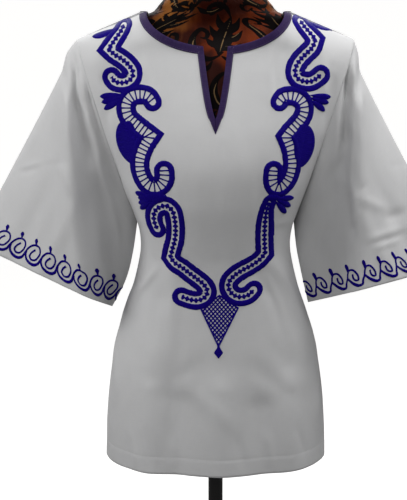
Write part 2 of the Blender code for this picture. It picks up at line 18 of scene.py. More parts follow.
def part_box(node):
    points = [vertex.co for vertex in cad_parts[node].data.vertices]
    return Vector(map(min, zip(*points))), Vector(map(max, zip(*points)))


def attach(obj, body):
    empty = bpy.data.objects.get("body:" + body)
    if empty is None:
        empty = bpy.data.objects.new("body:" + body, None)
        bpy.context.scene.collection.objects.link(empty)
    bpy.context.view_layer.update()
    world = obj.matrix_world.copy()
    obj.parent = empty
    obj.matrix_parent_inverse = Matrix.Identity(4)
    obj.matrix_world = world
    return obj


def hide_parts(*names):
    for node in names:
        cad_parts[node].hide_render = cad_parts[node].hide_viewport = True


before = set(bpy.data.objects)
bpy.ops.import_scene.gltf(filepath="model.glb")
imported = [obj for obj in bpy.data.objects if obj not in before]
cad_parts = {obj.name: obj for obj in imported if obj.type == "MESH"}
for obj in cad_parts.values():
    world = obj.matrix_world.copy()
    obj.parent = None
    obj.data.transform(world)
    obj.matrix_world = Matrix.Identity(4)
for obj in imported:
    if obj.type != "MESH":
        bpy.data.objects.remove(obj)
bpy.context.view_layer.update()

# Base plate of the stand: a turned steel disc with a rolled upper rim, sprayed with glossy black
# enamel. It stands flat on the floor and carries everything above it.
PLATE_RIMS = (0.006, 0.001)
PLATE_SIDES = 144
RIM_STEPS = 5
SAME_HEIGHT = 1e-5
SOFT_EDGE = math.radians(35)
ENAMEL_BLACK = (0.006, 0.005, 0.005, 1.0)
ENAMEL_DUST = (0.030, 0.027, 0.024, 1.0)
ENAMEL_COAT = {"Coat Weight": 0.4, "Coat Roughness": 0.08, "Specular IOR Level": 0.5}
ENAMEL_ROUGHNESS = 0.13
DUST_CLOUD, DUST_EDGES, DUST_ROUGHNESS = (14, 5), (0.52, 0.78), 0.22
PEEL_CLOUD, PEEL_DEPTH = (420, 2), 0.00004


class Reading:
    """A number that changes over a surface: a socket, and the sums done on it as Math nodes."""

    def __init__(self, finish, socket):
        self.finish = finish
        self.socket = socket

    def __add__(self, other):
        return self.finish.sum("ADD", self, other)

    def __mul__(self, other):
        return self.finish.sum("MULTIPLY", self, other)

    __radd__ = __add__
    __rmul__ = __mul__


class Finish:
    """A material. node() adds any node, and the others are short ways to the ones used most."""

    def __init__(self, name, fixed):
        self.made = bpy.data.materials.new(name)
        self.made.use_nodes = True
        self.tree = self.made.node_tree
        self.shader = self.tree.nodes["Principled BSDF"]
        for socket, value in fixed.items():
            self.shader.inputs[socket].default_value = value

    def feed(self, socket, value):
        value = value.socket if isinstance(value, Reading) else value
        if isinstance(value, bpy.types.NodeSocket):
            self.tree.links.new(value, socket)
        else:
            socket.default_value = value

    def node(self, kind, settings, sockets):
        made = self.tree.nodes.new(kind)
        for name, value in settings.items():
            setattr(made, name, value)
        for name, value in sockets.items():
            self.feed(made.inputs[name], value)
        return made

    def sum(self, operation, *values):
        made = self.node("ShaderNodeMath", {"operation": operation}, dict(enumerate(values)))
        return Reading(self, made.outputs[0])

    def place(self, scale=(1, 1, 1), flat=None):
        """Object coordinates, or the piece's own flat places in metres, stretched by a scale."""
        if flat:
            source = self.node("ShaderNodeUVMap", {"uv_map": flat}, {}).outputs["UV"]
        else:
            source = self.node("ShaderNodeTexCoord", {}, {}).outputs["Object"]
        return self.node("ShaderNodeMapping", {}, {"Vector": source, "Scale": scale}).outputs[0]

    def across_and_along(self, flat):
        made = self.node("ShaderNodeSeparateXYZ", {}, {0: self.place(flat=flat)})
        return [Reading(self, socket) for socket in made.outputs[:2]]

    def cloud(self, place, scale, detail):
        made = self.node("ShaderNodeTexNoise", {}, {"Vector": place, "Scale": scale, "Detail": detail})
        return Reading(self, made.outputs["Fac"])

    def between(self, value, low, high):
        """0 below low, 1 above high, and a soft change between them."""
        settings = {"interpolation_type": "SMOOTHSTEP"}
        made = self.node("ShaderNodeMapRange", settings, {"Value": value, "From Min": low, "From Max": high})
        return Reading(self, made.outputs[0])

    def blend(self, share, first, second):
        made = self.node("ShaderNodeMix", {"data_type": "RGBA"}, {0: share, 6: first, 7: second})
        return made.outputs[2]

    def show(self, color, roughness, height=None, depth=None):
        self.feed(self.shader.inputs["Base Color"], color)
        self.feed(self.shader.inputs["Roughness"], roughness)
        if height is not None:
            bump = self.node("ShaderNodeBump", {}, {"Height": height, "Distance": depth})
            self.feed(self.shader.inputs["Normal"], bump.outputs[0])


enamel = Finish("black_enamel", ENAMEL_COAT)
dust = enamel.between(enamel.cloud(enamel.place(), *DUST_CLOUD), *DUST_EDGES)
enamel.show(
    color=enamel.blend(dust, ENAMEL_BLACK, ENAMEL_DUST),
    roughness=ENAMEL_ROUGHNESS + DUST_ROUGHNESS * dust,
    height=enamel.cloud(enamel.place(), *PEEL_CLOUD),
    depth=PEEL_DEPTH,
)


def finish_piece(item, finish, slot, *nodes):
    """Gives a piece its material and puts it in the place of its CAD nodes. The slot is not used."""
    item.data.materials.clear()
    item.data.materials.append(finish.made)
    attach(item, "root")
    if nodes:
        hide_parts(*nodes)


def edit(on):
    bpy.ops.object.mode_set(mode="EDIT" if on else "OBJECT")


def rounded_disc(name, node, sides, rims):
    """Cylinder in a node's place on the pole's axis, its upper and then its lower rim rolled over."""
    low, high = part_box(node)
    bpy.ops.object.select_all(action="DESELECT")
    bpy.ops.mesh.primitive_cylinder_add(
        vertices=sides, radius=high.x, depth=high.z - low.z, location=(0, 0, (low.z + high.z) / 2)
    )
    item = bpy.context.object
    item.name = item.data.name = name
    bpy.ops.object.transform_apply(location=True)
    for height, size in zip((high.z, low.z), rims):
        edit(True)
        bpy.ops.mesh.select_mode(type="EDGE")
        bpy.ops.mesh.select_all(action="DESELECT")
        edit(False)
        for edge in item.data.edges:
            ends = [item.data.vertices[i].co.z for i in edge.vertices]
            edge.select = all(abs(end - height) < SAME_HEIGHT for end in ends)
        edit(True)
        bpy.ops.mesh.bevel(offset=size, segments=RIM_STEPS, affect="EDGES")
        edit(False)
    bpy.ops.object.shade_smooth_by_angle(angle=SOFT_EDGE)
    finish_piece(item, enamel, "stand_black", node)


rounded_disc("base_plate_enamelled", "base_plate", PLATE_SIDES, PLATE_RIMS)

# Collar, pole and flange: a turned collar bolted on the plate holds the steel tube upright, and a
# turned flange with a socket joins the tube's top to the form. All are in the same enamel.
POLE_RIMS = (0.0012, 0.0012)
POLE_SIDES = 64
SOCKET_GAP = 0.0004
COLLAR_SLEEVE = 0.0195
COLLAR_SKIRT = (0.004, 0.010)
FLANGE_SOCKET = 0.020
FLANGE_NECK = 0.024
FLANGE_DROPS = (0.0136, 0.0088, 0.0064)
TURNED_RIM = 0.0015
TURNED_RIM_STEPS = 3
TURNED_STEPS = 96
SAME_PLACE = 0.00001


def turned(name, node, profile):
    """Closed profile of radius and height corners, rounded off, then spun round the pole's axis."""
    bpy.ops.object.select_all(action="DESELECT")
    bpy.ops.mesh.primitive_circle_add(vertices=len(profile), fill_type="NGON")
    item = bpy.context.object
    item.name = item.data.name = name
    for vertex, (radius, height) in zip(item.data.vertices, profile):
        vertex.co = (radius, 0.0, height)
    edit(True)
    bpy.ops.mesh.select_all(action="SELECT")
    bpy.ops.mesh.bevel(offset=TURNED_RIM, segments=TURNED_RIM_STEPS, affect="VERTICES")
    bpy.ops.mesh.select_all(action="SELECT")
    bpy.ops.mesh.delete(type="ONLY_FACE")
    bpy.ops.mesh.select_all(action="SELECT")
    bpy.ops.mesh.spin(steps=TURNED_STEPS, angle=2 * math.pi, center=(0, 0, 0), axis=(0, 0, 1))
    bpy.ops.mesh.select_all(action="SELECT")
    bpy.ops.mesh.remove_doubles(threshold=SAME_PLACE)
    bpy.ops.mesh.normals_make_consistent(inside=False)
    edit(False)
    bpy.ops.object.shade_smooth_by_angle(angle=SOFT_EDGE)
    finish_piece(item, enamel, "stand_black", node)


rounded_disc("pole_enamelled", "pole", POLE_SIDES, POLE_RIMS)
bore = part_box("pole")[1].x + SOCKET_GAP
foot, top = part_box("base_collar")
heights = (foot.z, foot.z, foot.z + COLLAR_SKIRT[0], foot.z + COLLAR_SKIRT[1], top.z, top.z)
radii = (bore, top.x, top.x, COLLAR_SLEEVE, COLLAR_SLEEVE, bore)
turned("collar_turned", "base_collar", list(zip(radii, heights)))
foot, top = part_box("form_flange")
heights = (foot.z, foot.z, *(top.z - drop for drop in FLANGE_DROPS), top.z, top.z)
radii = (bore, FLANGE_SOCKET, FLANGE_SOCKET, FLANGE_NECK, top.x, top.x, bore)
turned("flange_turned", "form_flange", list(zip(radii, heights)))

# Padded torso: a foam body covered in stretched damask with a rust ground, its upright dark and gold
# streaks partly its own tone and partly painted shade and painted sheen. Its panels are sewn at the centres,
# the sides and over the bust.
# The dark colour is partly the damask's own tone and partly painted shade; the gold is partly its tone and
# partly painted sheen.
COVER_DARK_TONE_AND_PAINTED_SHADE = (0.028, 0.0035, 0.001, 1.0)
COVER_RUST = (0.130, 0.019, 0.002, 1.0)
COVER_GOLD_TONE_AND_PAINTED_SHEEN = (0.260, 0.098, 0.018, 1.0)
COVER_ROUGHNESS = 0.42
SHADE_PATCH_STRETCH, SHADE_PATCH_CLOUD, SHADE_PATCH_EDGES = (1, 1, 0.55), (17, 3), (0.40, 0.60)
GOLD_SHEEN_STRETCH, GOLD_SHEEN_CLOUD, GOLD_SHEEN_EDGES = (1, 1, 0.7), (8, 2), (0.47, 0.62)
RIBS, RIB_ROUGHNESS, RIB_DEPTH = 7000, 0.05, 0.00005
COVER_AROUND = 160
COVER_SEAMS = (0.0, 0.19, 0.31, 0.5, 0.69, 0.81)
SEAM_WIDTH = 0.004
SEAM_DEPTH = 0.0010
LEVEL_STEPS = 5
CAP_RINGS = (0.985, 0.93, 0.70, 0.35)
PLACE_DIGITS, LEVEL_DIGITS = 5, 4


def norms(ways, keep=False):
    """Length of every vector in an array."""
    return np.linalg.norm(ways, axis=-1, keepdims=keep)


def rings_of(node):
    """The flat rings of a stacked CAD solid, lowest first, each in order round the pole."""
    levels = {}
    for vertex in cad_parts[node].data.vertices:
        key = (round(vertex.co.x, PLACE_DIGITS), round(vertex.co.y, PLACE_DIGITS))
        levels.setdefault(round(vertex.co.z, LEVEL_DIGITS), set()).add(key)
    rings = []
    for height in sorted(levels):
        ring = sorted(levels[height], key=lambda point: math.atan2(point[1], point[0]) % (2 * math.pi))
        rings.append((height, np.array(ring)))
    return rings


def smooth_through(knots, values, places):
    """Smooth curve through values at rising knots, read at other places."""
    knots = np.array(knots, float)
    slopes = np.gradient(values, knots, axis=0)
    index = np.clip(np.searchsorted(knots, places, side="right") - 1, 0, len(knots) - 2)
    span = knots[index + 1] - knots[index]
    extra = (1,) * (values.ndim - 1)
    t = ((places - knots[index]) / span).reshape(-1, *extra)
    span = span.reshape(-1, *extra)
    a, b = values[index], values[index + 1]
    start, end = slopes[index] * span, slopes[index + 1] * span
    return ((2 * a - 2 * b + start + end) * t + (3 * b - 3 * a - 2 * start - end)) * t * t + start * t + a


def finer_rings(rings, around):
    """Smooth rings between and along the CAD rings: array of level, step round, and x y z."""
    count = len(rings[0][1])
    turns = np.arange(-3, count + 4)
    places = np.arange(around) * count / around
    heights = [height for height, _ in rings]
    level = np.array([smooth_through(turns, ring[turns % count], places) for _, ring in rings])
    fine = np.interp(np.arange((len(rings) - 1) * LEVEL_STEPS + 1) / LEVEL_STEPS, range(len(rings)), heights)
    spread = smooth_through(heights, level, fine)
    tall = np.broadcast_to(fine[:, None, None], (*spread.shape[:2], 1))
    return np.concatenate([spread, tall], axis=2)


def quads(index, closed=False, turned=False):
    """Faces of a grid of vertex numbers, closed round its rows if asked."""
    ahead = np.roll(index, -1, axis=1) if closed else index[:, 1:]
    here = index if closed else index[:, :-1]
    faces = np.stack([here[:-1], ahead[:-1], ahead[1:], here[1:]], axis=-1).reshape(-1, 4)
    return faces[:, ::-1] if turned else faces


def numbered(grid):
    return np.arange(grid.shape[0] * grid.shape[1]).reshape(grid.shape[:2])


def new_object(name, points, faces):
    """Mesh object at the origin, selected on its own."""
    mesh = bpy.data.meshes.new(name)
    mesh.from_pydata(np.asarray(points).tolist(), [], [tuple(int(i) for i in face) for face in faces])
    item = bpy.data.objects.new(name, mesh)
    bpy.context.scene.collection.objects.link(item)
    bpy.ops.object.select_all(action="DESELECT")
    item.select_set(True)
    bpy.context.view_layer.objects.active = item
    return item


def closed_stack(name, rings, flat_places):
    """Closed mesh through rings, with its two ends filled by smaller rings and a last polygon."""
    ends = []
    for ring in (rings[0], rings[-1]):
        middle = ring.mean(axis=0)
        ends.append([middle + (ring - middle) * share for share in CAP_RINGS])
    layers = np.array(ends[0][::-1] + list(rings) + ends[1])
    index = numbered(layers)
    item = new_object(name, layers.reshape(-1, 3), [index[0][::-1], *quads(index, closed=True), index[-1]])
    count = layers.shape[1]
    around = norms(np.diff(rings[len(rings) // 2], axis=0)).sum()
    layer = item.data.uv_layers.new(name=flat_places)
    for polygon in item.data.polygons:
        steps = [i % count for i in polygon.vertices]
        wraps = 0 in steps and count - 1 in steps
        for corner, step, vertex in zip(polygon.loop_indices, steps, polygon.vertices):
            turn = 1.0 if wraps and step == 0 else step / count
            layer.data[corner].uv = (turn * around, item.data.vertices[vertex].co.z)
    bpy.ops.object.shade_smooth_by_angle(angle=SOFT_EDGE)
    return item


torso_rings = finer_rings(rings_of("form_torso"), COVER_AROUND)
torso_middle = torso_rings.mean(axis=1, keepdims=True)
for seam in COVER_SEAMS:
    steps_off = np.abs((np.arange(COVER_AROUND) / COVER_AROUND - seam + 0.5) % 1 - 0.5)
    spacing = norms(torso_rings - np.roll(torso_rings, 1, axis=1)).mean()
    groove = np.exp(-((steps_off * COVER_AROUND * spacing / SEAM_WIDTH) ** 2))[None, :, None]
    way = torso_rings - torso_middle
    torso_rings = torso_rings - SEAM_DEPTH * groove * way / norms(way, True)

damask = Finish("rust_damask", {"Specular IOR Level": 0.05})
# Upright clouds: the dark patches are partly painted shade, and the gold streaks are partly painted sheen of
# the silk.
dark_tone_and_painted_shade = damask.between(damask.cloud(damask.place(SHADE_PATCH_STRETCH), *SHADE_PATCH_CLOUD), *SHADE_PATCH_EDGES)
gold_tone_and_painted_sheen = damask.between(damask.cloud(damask.place(GOLD_SHEEN_STRETCH), *GOLD_SHEEN_CLOUD), *GOLD_SHEEN_EDGES)
cover_u, cover_v = damask.across_and_along("cover")
ribs = damask.sum("SINE", (cover_u + cover_v) * RIBS)
damask.show(
    color=damask.blend(gold_tone_and_painted_sheen * dark_tone_and_painted_shade, damask.blend(dark_tone_and_painted_shade, COVER_DARK_TONE_AND_PAINTED_SHADE, COVER_RUST), COVER_GOLD_TONE_AND_PAINTED_SHEEN),
    roughness=COVER_ROUGHNESS + RIB_ROUGHNESS * ribs,
    height=ribs,
    depth=RIB_DEPTH,
)
torso = closed_stack("form_torso_covered", torso_rings, "cover")
finish_piece(torso, damask, "form_cover", "form_torso")

# Neck cap: a turned wooden lid with a rounded edge that closes the top of the form's neck, in the
# stand's black enamel.
CAP_AROUND = 96
neck_cap = closed_stack("neck_cap_enamelled", finer_rings(rings_of("neck_cap"), CAP_AROUND), "cap")
finish_piece(neck_cap, enamel, "stand_black", "neck_cap")

# Front and back panel: starched pale grey cotton, each cut in one piece, hollow as worn, and joined
# at the shoulders and sides. The hem is turned in once, and the front is slit below the neckline.
CLOTH_WALL = 0.0008
HEM_TURNED = 0.030
HEM_FOLD = 0.0009
HEM_FOLD_DROP = 0.7
HEM_LINE = 0.0270
HEM_LINE_ROWS = (1.04, 1.09)
HEM_LINE_DENT = 0.0002
HEM_LINE_SPREAD = 0.0018
HEM_BULGE = 0.00016
COTTON_GREY = (0.560, 0.560, 0.563, 1.0)
COTTON_LIGHT = (0.605, 0.605, 0.608, 1.0)
THREAD_PITCH = 0.00045
THREAD_CLOUDS = (60, 2600)
TONE_CLOUD, TONE_SHARES, TONE_EDGES = (7, 3), (0.5, 0.3, 0.2), (0.38, 0.64)
COTTON_SHEEN = {"Sheen Weight": 0.12, "Sheen Roughness": 0.4, "Specular IOR Level": 0.35}
COTTON_ROUGHNESS, CROSSING_ROUGHNESS, WEAVE_DEPTH = 0.62, 0.06, 0.00006
NECK_X, NECK_Z = 0.110, 1.400
SHOULDER_X, SHOULDER_Z = 0.223, 1.358
SHOULDER_SLOPE = (NECK_Z - SHOULDER_Z) / (SHOULDER_X - NECK_X)
UNDERARM_X, UNDERARM_Z = 0.130, 1.060
HEM_Z = 0.664
NECK_DROP = {"front": 0.059, "back": 0.022}
ARMHOLE_DEPTH = {"front": 0.062, "back": 0.058}
SIGN = {"front": -1, "back": 1}
SHOULDER_ROUNDING = 0.055
SLIT_HALF_WIDTH = 0.0195
SLIT_TIP_Z = 1.2315
SLIT_BOW = 0.65
NECK_BINDING = 0.012
SLIT_BINDING = 0.0095
SLIT_BINDING_TIP = 0.0225
BACK_BINDING_STEP = 0.018
ARMHOLE_TOP_ROUND = 0.5
ARMHOLE_FOOT_ROUND = 0.8
MOST_ACROSS = 0.999
SIDE_ROWS = 16
MEETING_ROW = 12
CHEST_ROWS = 5
SLIT_ROWS = 4
SLIT_TOP = CHEST_ROWS + SLIT_ROWS
NECK_ROWS = 6
ARMHOLE_ROWS = SLIT_TOP + NECK_ROWS
COLUMNS = 12
FIRST_ACROSS = math.sin(math.pi / 2 / COLUMNS)
ARMHOLE_SPACING = 1.35
NECK_SPACING = 1.5
ROW_SLACK = 1e-9
SECTION_POWER = 2.3
ROW_STEPS = 7
COLUMN_STEPS = 6

# The body's sections: height, half width, depth to the front and depth to the back
BODY = (
    (0.664, 0.187, 0.131, 0.135), (0.73, 0.185, 0.127, 0.133), (0.81, 0.1765, 0.12, 0.128),
    (0.87, 0.165, 0.115, 0.12), (0.915, 0.151, 0.111, 0.109), (0.955, 0.1375, 0.109, 0.099),
    (1.005, 0.126, 0.112, 0.092), (1.03, 0.1245, 0.117, 0.091), (1.06, 0.13, 0.124, 0.092),
    (1.1, 0.146, 0.133, 0.094), (1.15, 0.163, 0.137, 0.098), (1.2, 0.186, 0.128, 0.1),
    (1.25, 0.209, 0.112, 0.098), (1.3, 0.232, 0.094, 0.09), (1.338, 0.245, 0.081, 0.08),
    (1.378, 0.255, 0.076, 0.07), (1.42, 0.265, 0.074, 0.066),
)
DEPTH = {"front": 2, "back": 3}

# Folds and creases seen from the front or the back, in millimetres: x and z at the top, x and z at
# the foot, width, and height, above 0 on a ridge. The folds are in the CAD walls too, and the
# creases are the softer ones that only the finer cloth can hold.
Fold = namedtuple("Fold", "x_top z_top x_foot z_foot width height")


def in_metres(*rows):
    """Folds from rows in millimetres."""
    return [Fold(*(size / 1000 for size in row)) for row in rows]


FOLDS = {
    "front": in_metres(
        (-95, 1000, -140, 860, 16, -3.5), (-60, 1030, -105, 840, 18, 3), (95, 1000, 150, 850, 16, 4),
        (70, 985, 115, 840, 16, -3.5), (-110, 800, -118, 650, 22, 6), (-60, 780, -62, 650, 24, -5.5),
        (5, 800, 10, 650, 26, 5), (75, 770, 80, 650, 24, -5), (128, 800, 138, 650, 22, 5.5),
        (-165, 1290, -135, 1150, 16, -4), (165, 1290, 135, 1150, 16, -4),
    ),
    "back": in_metres(
        (-85, 1060, -120, 860, 18, 4), (-35, 1080, -50, 880, 20, -3.5), (30, 1070, 45, 870, 20, 4),
        (90, 1040, 125, 850, 18, -3.5), (-120, 800, -130, 650, 24, -5.5), (-45, 800, -50, 650, 28, 6),
        (40, 790, 45, 650, 26, -5), (115, 800, 122, 650, 24, 5.5), (-150, 1300, -100, 1120, 20, -4),
        (150, 1300, 100, 1120, 20, -4),
    ),
}
CREASES = {
    "front": in_metres(
        (-93, 998, -133, 944, 6, 2.6), (-130, 953, -157, 890, 7, 2.6), (-78, 968, -78, 876, 7, -1.8),
        (-84, 972, -102, 872, 10, -2.6), (-63, 947, -82, 831, 12, 1.8), (103, 997, 134, 926, 6, 2.4),
        (131, 936, 167, 841, 7, 2.4), (78, 971, 104, 904, 9, -2.4), (86, 996, 133, 883, 9, -2.8),
        (73, 958, 100, 864, 11, 2), (161, 847, 173, 724, 7, 2.4), (-161, 894, -169, 767, 8, 2.2),
        (-49, 811, 35, 743, 14, 1.6), (46, 849, 140, 775, 14, -1.8), (-22, 852, -103, 785, 14, -1.2),
        (-135, 738, -132, 668, 6, 1.5), (-109, 735, -108, 669, 7, -1.5), (-67, 721, -71, 666, 8, 1.3),
        (35, 732, 42, 671, 8, -1.2), (82, 736, 87, 673, 8, 1.3), (136, 739, 144, 682, 7, -1.4),
        (-96, 1319, -99, 1242, 5, -1), (-109, 1329, -113, 1268, 5, 1), (106, 1365, 104, 1328, 4, -1.4),
        (88, 1345, 83, 1253, 5, 1.2), (96, 1322, 91, 1261, 4, -0.9), (-75, 1170, -66, 1052, 9, -1.3),
        (73, 1170, 66, 1052, 9, -1.3), (-50, 1028, -28, 1000, 8, 1.2), (-177, 1319, -163, 1221, 9, -2.6),
        (-164, 1242, -151, 1158, 6, 2), (-151, 1158, -142, 1060, 5, 2.4), (-162, 1165, -151, 1073, 6, -2.4),
        (189, 1294, 170, 1216, 10, -3), (172, 1322, 168, 1260, 6, 1.8), (155, 1153, 147, 1061, 5, 2.4),
        (165, 1157, 157, 1073, 6, -2.4),
    ),
    "back": in_metres(
        (-20, 1020, -85, 960, 12, 1.6), (15, 1000, 75, 950, 12, 1.5), (-100, 990, -140, 880, 8, -2.8),
        (105, 985, 145, 870, 8, 3), (-170, 1300, -120, 1180, 9, 2.8), (172, 1300, 125, 1170, 9, 2.8),
        (-140, 1170, -110, 1070, 9, 2.6), (140, 1170, 112, 1070, 9, -2.4), (-80, 870, -85, 700, 12, 2.4),
        (10, 890, 0, 700, 13, -2.2), (85, 860, 90, 700, 12, 2.4), (-30, 1340, -35, 1220, 10, 1.6),
        (50, 1330, 48, 1200, 10, -1.6),
    ),
}
CREASE_SWAY = 0.006
CREASE_WAVES = (6, 17)
CREASE_ENDS = 0.18
CREASE_ENDS_OVER = 0.5
CREASE_REACH = 3
RIPPLE = 0.0007
RIPPLE_SIZE = Vector((34.0, 34.0, 11.0))
RIPPLE_FINER = 2.7
RIPPLE_FINER_SHARE = 0.35
SEAM_DIP = 0.0003
SEAM_SPREAD = 0.0022
SEAM_PUCKER = 0.00030
PUCKER_WAVE = 900
PUCKER_UNEVEN = 40
CALM_BESIDE_SEAM = 0.014
CALM_BESIDE_BINDING = 0.030
SHOULDER_REST_Z = 1.330
LEAST_OVER_FORM = -0.0004


def curve_through(rows, position, place):
    """Smooth value of the rows' column at a place along their first column."""
    knots = [row[0] for row in rows]
    values = [row[position] for row in rows]
    place = min(max(place, knots[0]), knots[-1])
    index = sum(place > knot for knot in knots[1:-1])

    def slope(i):
        low, high = max(i - 1, 0), min(i + 1, len(knots) - 1)
        return (values[high] - values[low]) / (knots[high] - knots[low])

    span = knots[index + 1] - knots[index]
    t = (place - knots[index]) / span
    start, end = slope(index) * span, slope(index + 1) * span
    a = 2 * values[index] - 2 * values[index + 1] + start + end
    b = -3 * values[index] + 3 * values[index + 1] - 2 * start - end
    return ((a * t + b) * t + start) * t + values[index]


def smooth_step(value):
    value = min(max(value, 0.0), 1.0)
    return value * value * (3 - 2 * value)


def between(a, b, share):
    return a + (b - a) * share


def beside(fold, x, z, least, most):
    """Share of the way down a fold's line, and the distance beside it in the fold's own widths."""
    along = Vector((fold.x_foot - fold.x_top, fold.z_foot - fold.z_top))
    offset = Vector((x - fold.x_top, z - fold.z_top))
    share = min(max(offset.dot(along) / along.length_squared, least), most)
    return share, (offset - along * share).length / fold.width


def fold_height(folds, x, z):
    ways_off = [beside(fold, x, z, 0.0, 1.0)[1] for fold in folds]
    return sum(fold.height * math.exp(-away * away) for fold, away in zip(folds, ways_off))


def crease_height(creases, x, z):
    """Sum of the soft creases at a place, each swaying a little and running out at both ends."""
    x += CREASE_SWAY * noise.noise(Vector((x * CREASE_WAVES[0], 0.0, z * CREASE_WAVES[1])))
    total = 0.0
    for crease in creases:
        share, away = beside(crease, x, z, -math.inf, math.inf)
        if -CREASE_ENDS < share < 1 + CREASE_ENDS and away < CREASE_REACH:
            ends = smooth_step((share + CREASE_ENDS) / CREASE_ENDS_OVER)
            ends *= smooth_step((1 + CREASE_ENDS - share) / CREASE_ENDS_OVER)
            total += crease.height * math.exp(-away * away) * ends
    return total


def under_shoulder(x, z):
    """0 on the shoulder's line, growing to 1 below its rounding."""
    line = NECK_Z - SHOULDER_SLOPE * (abs(x) - NECK_X)
    return min(max(line - z, 0.0) / SHOULDER_ROUNDING, 1.0)


def lens(share, peak):
    """Depth of the armhole's curve, round at the shoulder and closing at the underarm."""
    top, foot = ARMHOLE_TOP_ROUND, ARMHOLE_FOOT_ROUND
    at_peak = (top / (top + foot)) ** top * (foot / (top + foot)) ** foot
    return peak * share**top * (1 - share) ** foot / at_peak


def armhole_share(row):
    return ((ARMHOLE_ROWS - row) / ARMHOLE_ROWS) ** ARMHOLE_SPACING


def armhole_point(row, layer):
    share = armhole_share(row)
    x, z = between(SHOULDER_X, UNDERARM_X, share), between(SHOULDER_Z, UNDERARM_Z, share)
    return Vector((x, lens(share, ARMHOLE_DEPTH[layer]), z))


def body_depth(x, z, layer):
    """How far the body's cloth stands from the shoulder plane at a place seen from the front."""
    across = min(abs(x) / curve_through(BODY, 1, z), MOST_ACROSS)
    full = curve_through(BODY, DEPTH[layer], z) * (1 - across**SECTION_POWER) ** (1 / SECTION_POWER)
    return full * math.sqrt(1 - (1 - under_shoulder(x, z)) ** 2)


def neckline_point(row, layer):
    """Point of a neckline, and the direction away from it, for a row counted down from the shoulder."""
    last = math.acos(SLIT_HALF_WIDTH / NECK_X) if layer == "front" else math.pi / 2
    angle = last * (row / NECK_ROWS) ** NECK_SPACING
    place = (NECK_X * math.cos(angle), NECK_Z - NECK_DROP[layer] * math.sin(angle))
    return place, Vector((math.cos(angle) / NECK_X, -math.sin(angle) / NECK_DROP[layer])).normalized()


SLIT_CORNER = neckline_point(NECK_ROWS, "front")[0]


def slit_point(up):
    """Point of the slit's edge, a share of the way up from its tip."""
    return SLIT_CORNER[0] * up**SLIT_BOW, between(SLIT_TIP_Z, SLIT_CORNER[1], up)


def beyond(place, away, distance):
    return place[0] + away.x * distance, place[1] + away.y * distance


def free_edge(step, layer):
    """Places of a half panel's free edge and of the binding's far edge at a whole row of the chest."""
    end = armhole_point(step, layer)
    closed, top = CHEST_ROWS, SLIT_TIP_Z - SLIT_BINDING_TIP
    if layer == "back":
        closed, top = SLIT_TOP, NECK_Z - NECK_DROP["back"] - NECK_BINDING
    if step < closed:
        z = between(UNDERARM_Z, top, step / (closed - 1))
        return (0.0, z), (end.x * FIRST_ACROSS, between(z, end.z, FIRST_ACROSS))
    if layer == "back" and step == closed:
        return (0.0, top + NECK_BINDING), (BACK_BINDING_STEP, top)
    if layer == "front" and step <= SLIT_TOP:
        x, z = slit_point((step - CHEST_ROWS) / SLIT_ROWS)
        return (x, z), (x + SLIT_BINDING, z - (NECK_BINDING if step == SLIT_TOP else 0.0))
    place, away = neckline_point(ARMHOLE_ROWS - step, layer)
    return place, beyond(place, away, NECK_BINDING)


def free_edge_between(step, layer):
    """The same at any row: on the neckline itself, and halfway between the whole rows elsewhere."""
    low = min(math.floor(step + ROW_SLACK), ARMHOLE_ROWS - 1)
    both = zip(free_edge(low, layer), free_edge(low + 1, layer))
    start, offset = [tuple(between(*ends, step - low) for ends in zip(below, above)) for below, above in both]
    if step > SLIT_TOP:
        start, away = neckline_point(ARMHOLE_ROWS - step, layer)
        offset = beyond(start, away, NECK_BINDING) if step > SLIT_TOP + 1 else offset
    elif layer == "front" and step > CHEST_ROWS:
        start = slit_point((step - CHEST_ROWS) / SLIT_ROWS)
        offset = (start[0] + SLIT_BINDING, offset[1])
    return start, offset


def panel_point(side, row, column, layer):
    """Point of a half panel: row up from the hem, column from the centre out to the seam."""
    turn = math.sin(math.pi / 2 * column / COLUMNS)
    across = column / COLUMNS
    if row < SIDE_ROWS:
        z = between(HEM_Z, UNDERARM_Z, row / SIDE_ROWS)
        reach = curve_through(BODY, 1, z)
        meeting = smooth_step((row - MEETING_ROW) / (SIDE_ROWS - MEETING_ROW))
        share = turn ** between(2 / SECTION_POWER, 1.0, meeting)
        x = reach * share
        plain = max(1 - share**SECTION_POWER, 0.0) ** (1 / SECTION_POWER)
        plain *= curve_through(BODY, DEPTH[layer], z)
        met = body_depth(x, z, layer) - body_depth(reach, z, layer) * across**3
        out = between(plain, met, meeting) + fold_height(FOLDS[layer], side * x, z) * (1 - share**4)
        return side * x, SIGN[layer] * max(out, 0.0) if column < COLUMNS else 0.0, z
    step = row - SIDE_ROWS
    start, offset = free_edge_between(step, layer)
    end = armhole_point(step, layer)
    if column < 1:
        x, z = between(start[0], offset[0], column), between(start[1], offset[1], column)
    else:
        share = (turn - FIRST_ACROSS) / (1 - FIRST_ACROSS)
        x, z = between(offset[0], end.x, share), between(offset[1], end.z, share)
    missing = body_depth(end.x, end.z, layer) - end.y
    fade = (1 - across**4) * under_shoulder(x, z)
    out = body_depth(x, z, layer) - missing * across**3 + fold_height(FOLDS[layer], side * x, z) * fade
    if row >= SIDE_ROWS + ARMHOLE_ROWS:
        out = 0.0
    if column >= COLUMNS:
        x, out, z = end
    return side * x, SIGN[layer] * max(out, 0.0), z


def lengths_from_start(points, axis):
    """Distance along a grid's rows or columns from their first point."""
    steps = norms(np.diff(points, axis=axis))
    return np.concatenate([np.zeros_like(steps.take([0], axis=axis)), np.cumsum(steps, axis=axis)], axis=axis)


def ripple(point):
    """Small unevenness of worn cotton, longer up and down than across."""
    fine = Vector(point) * RIPPLE_SIZE
    return RIPPLE * (noise.noise(fine) + RIPPLE_FINER_SHARE * noise.noise(fine * RIPPLE_FINER))


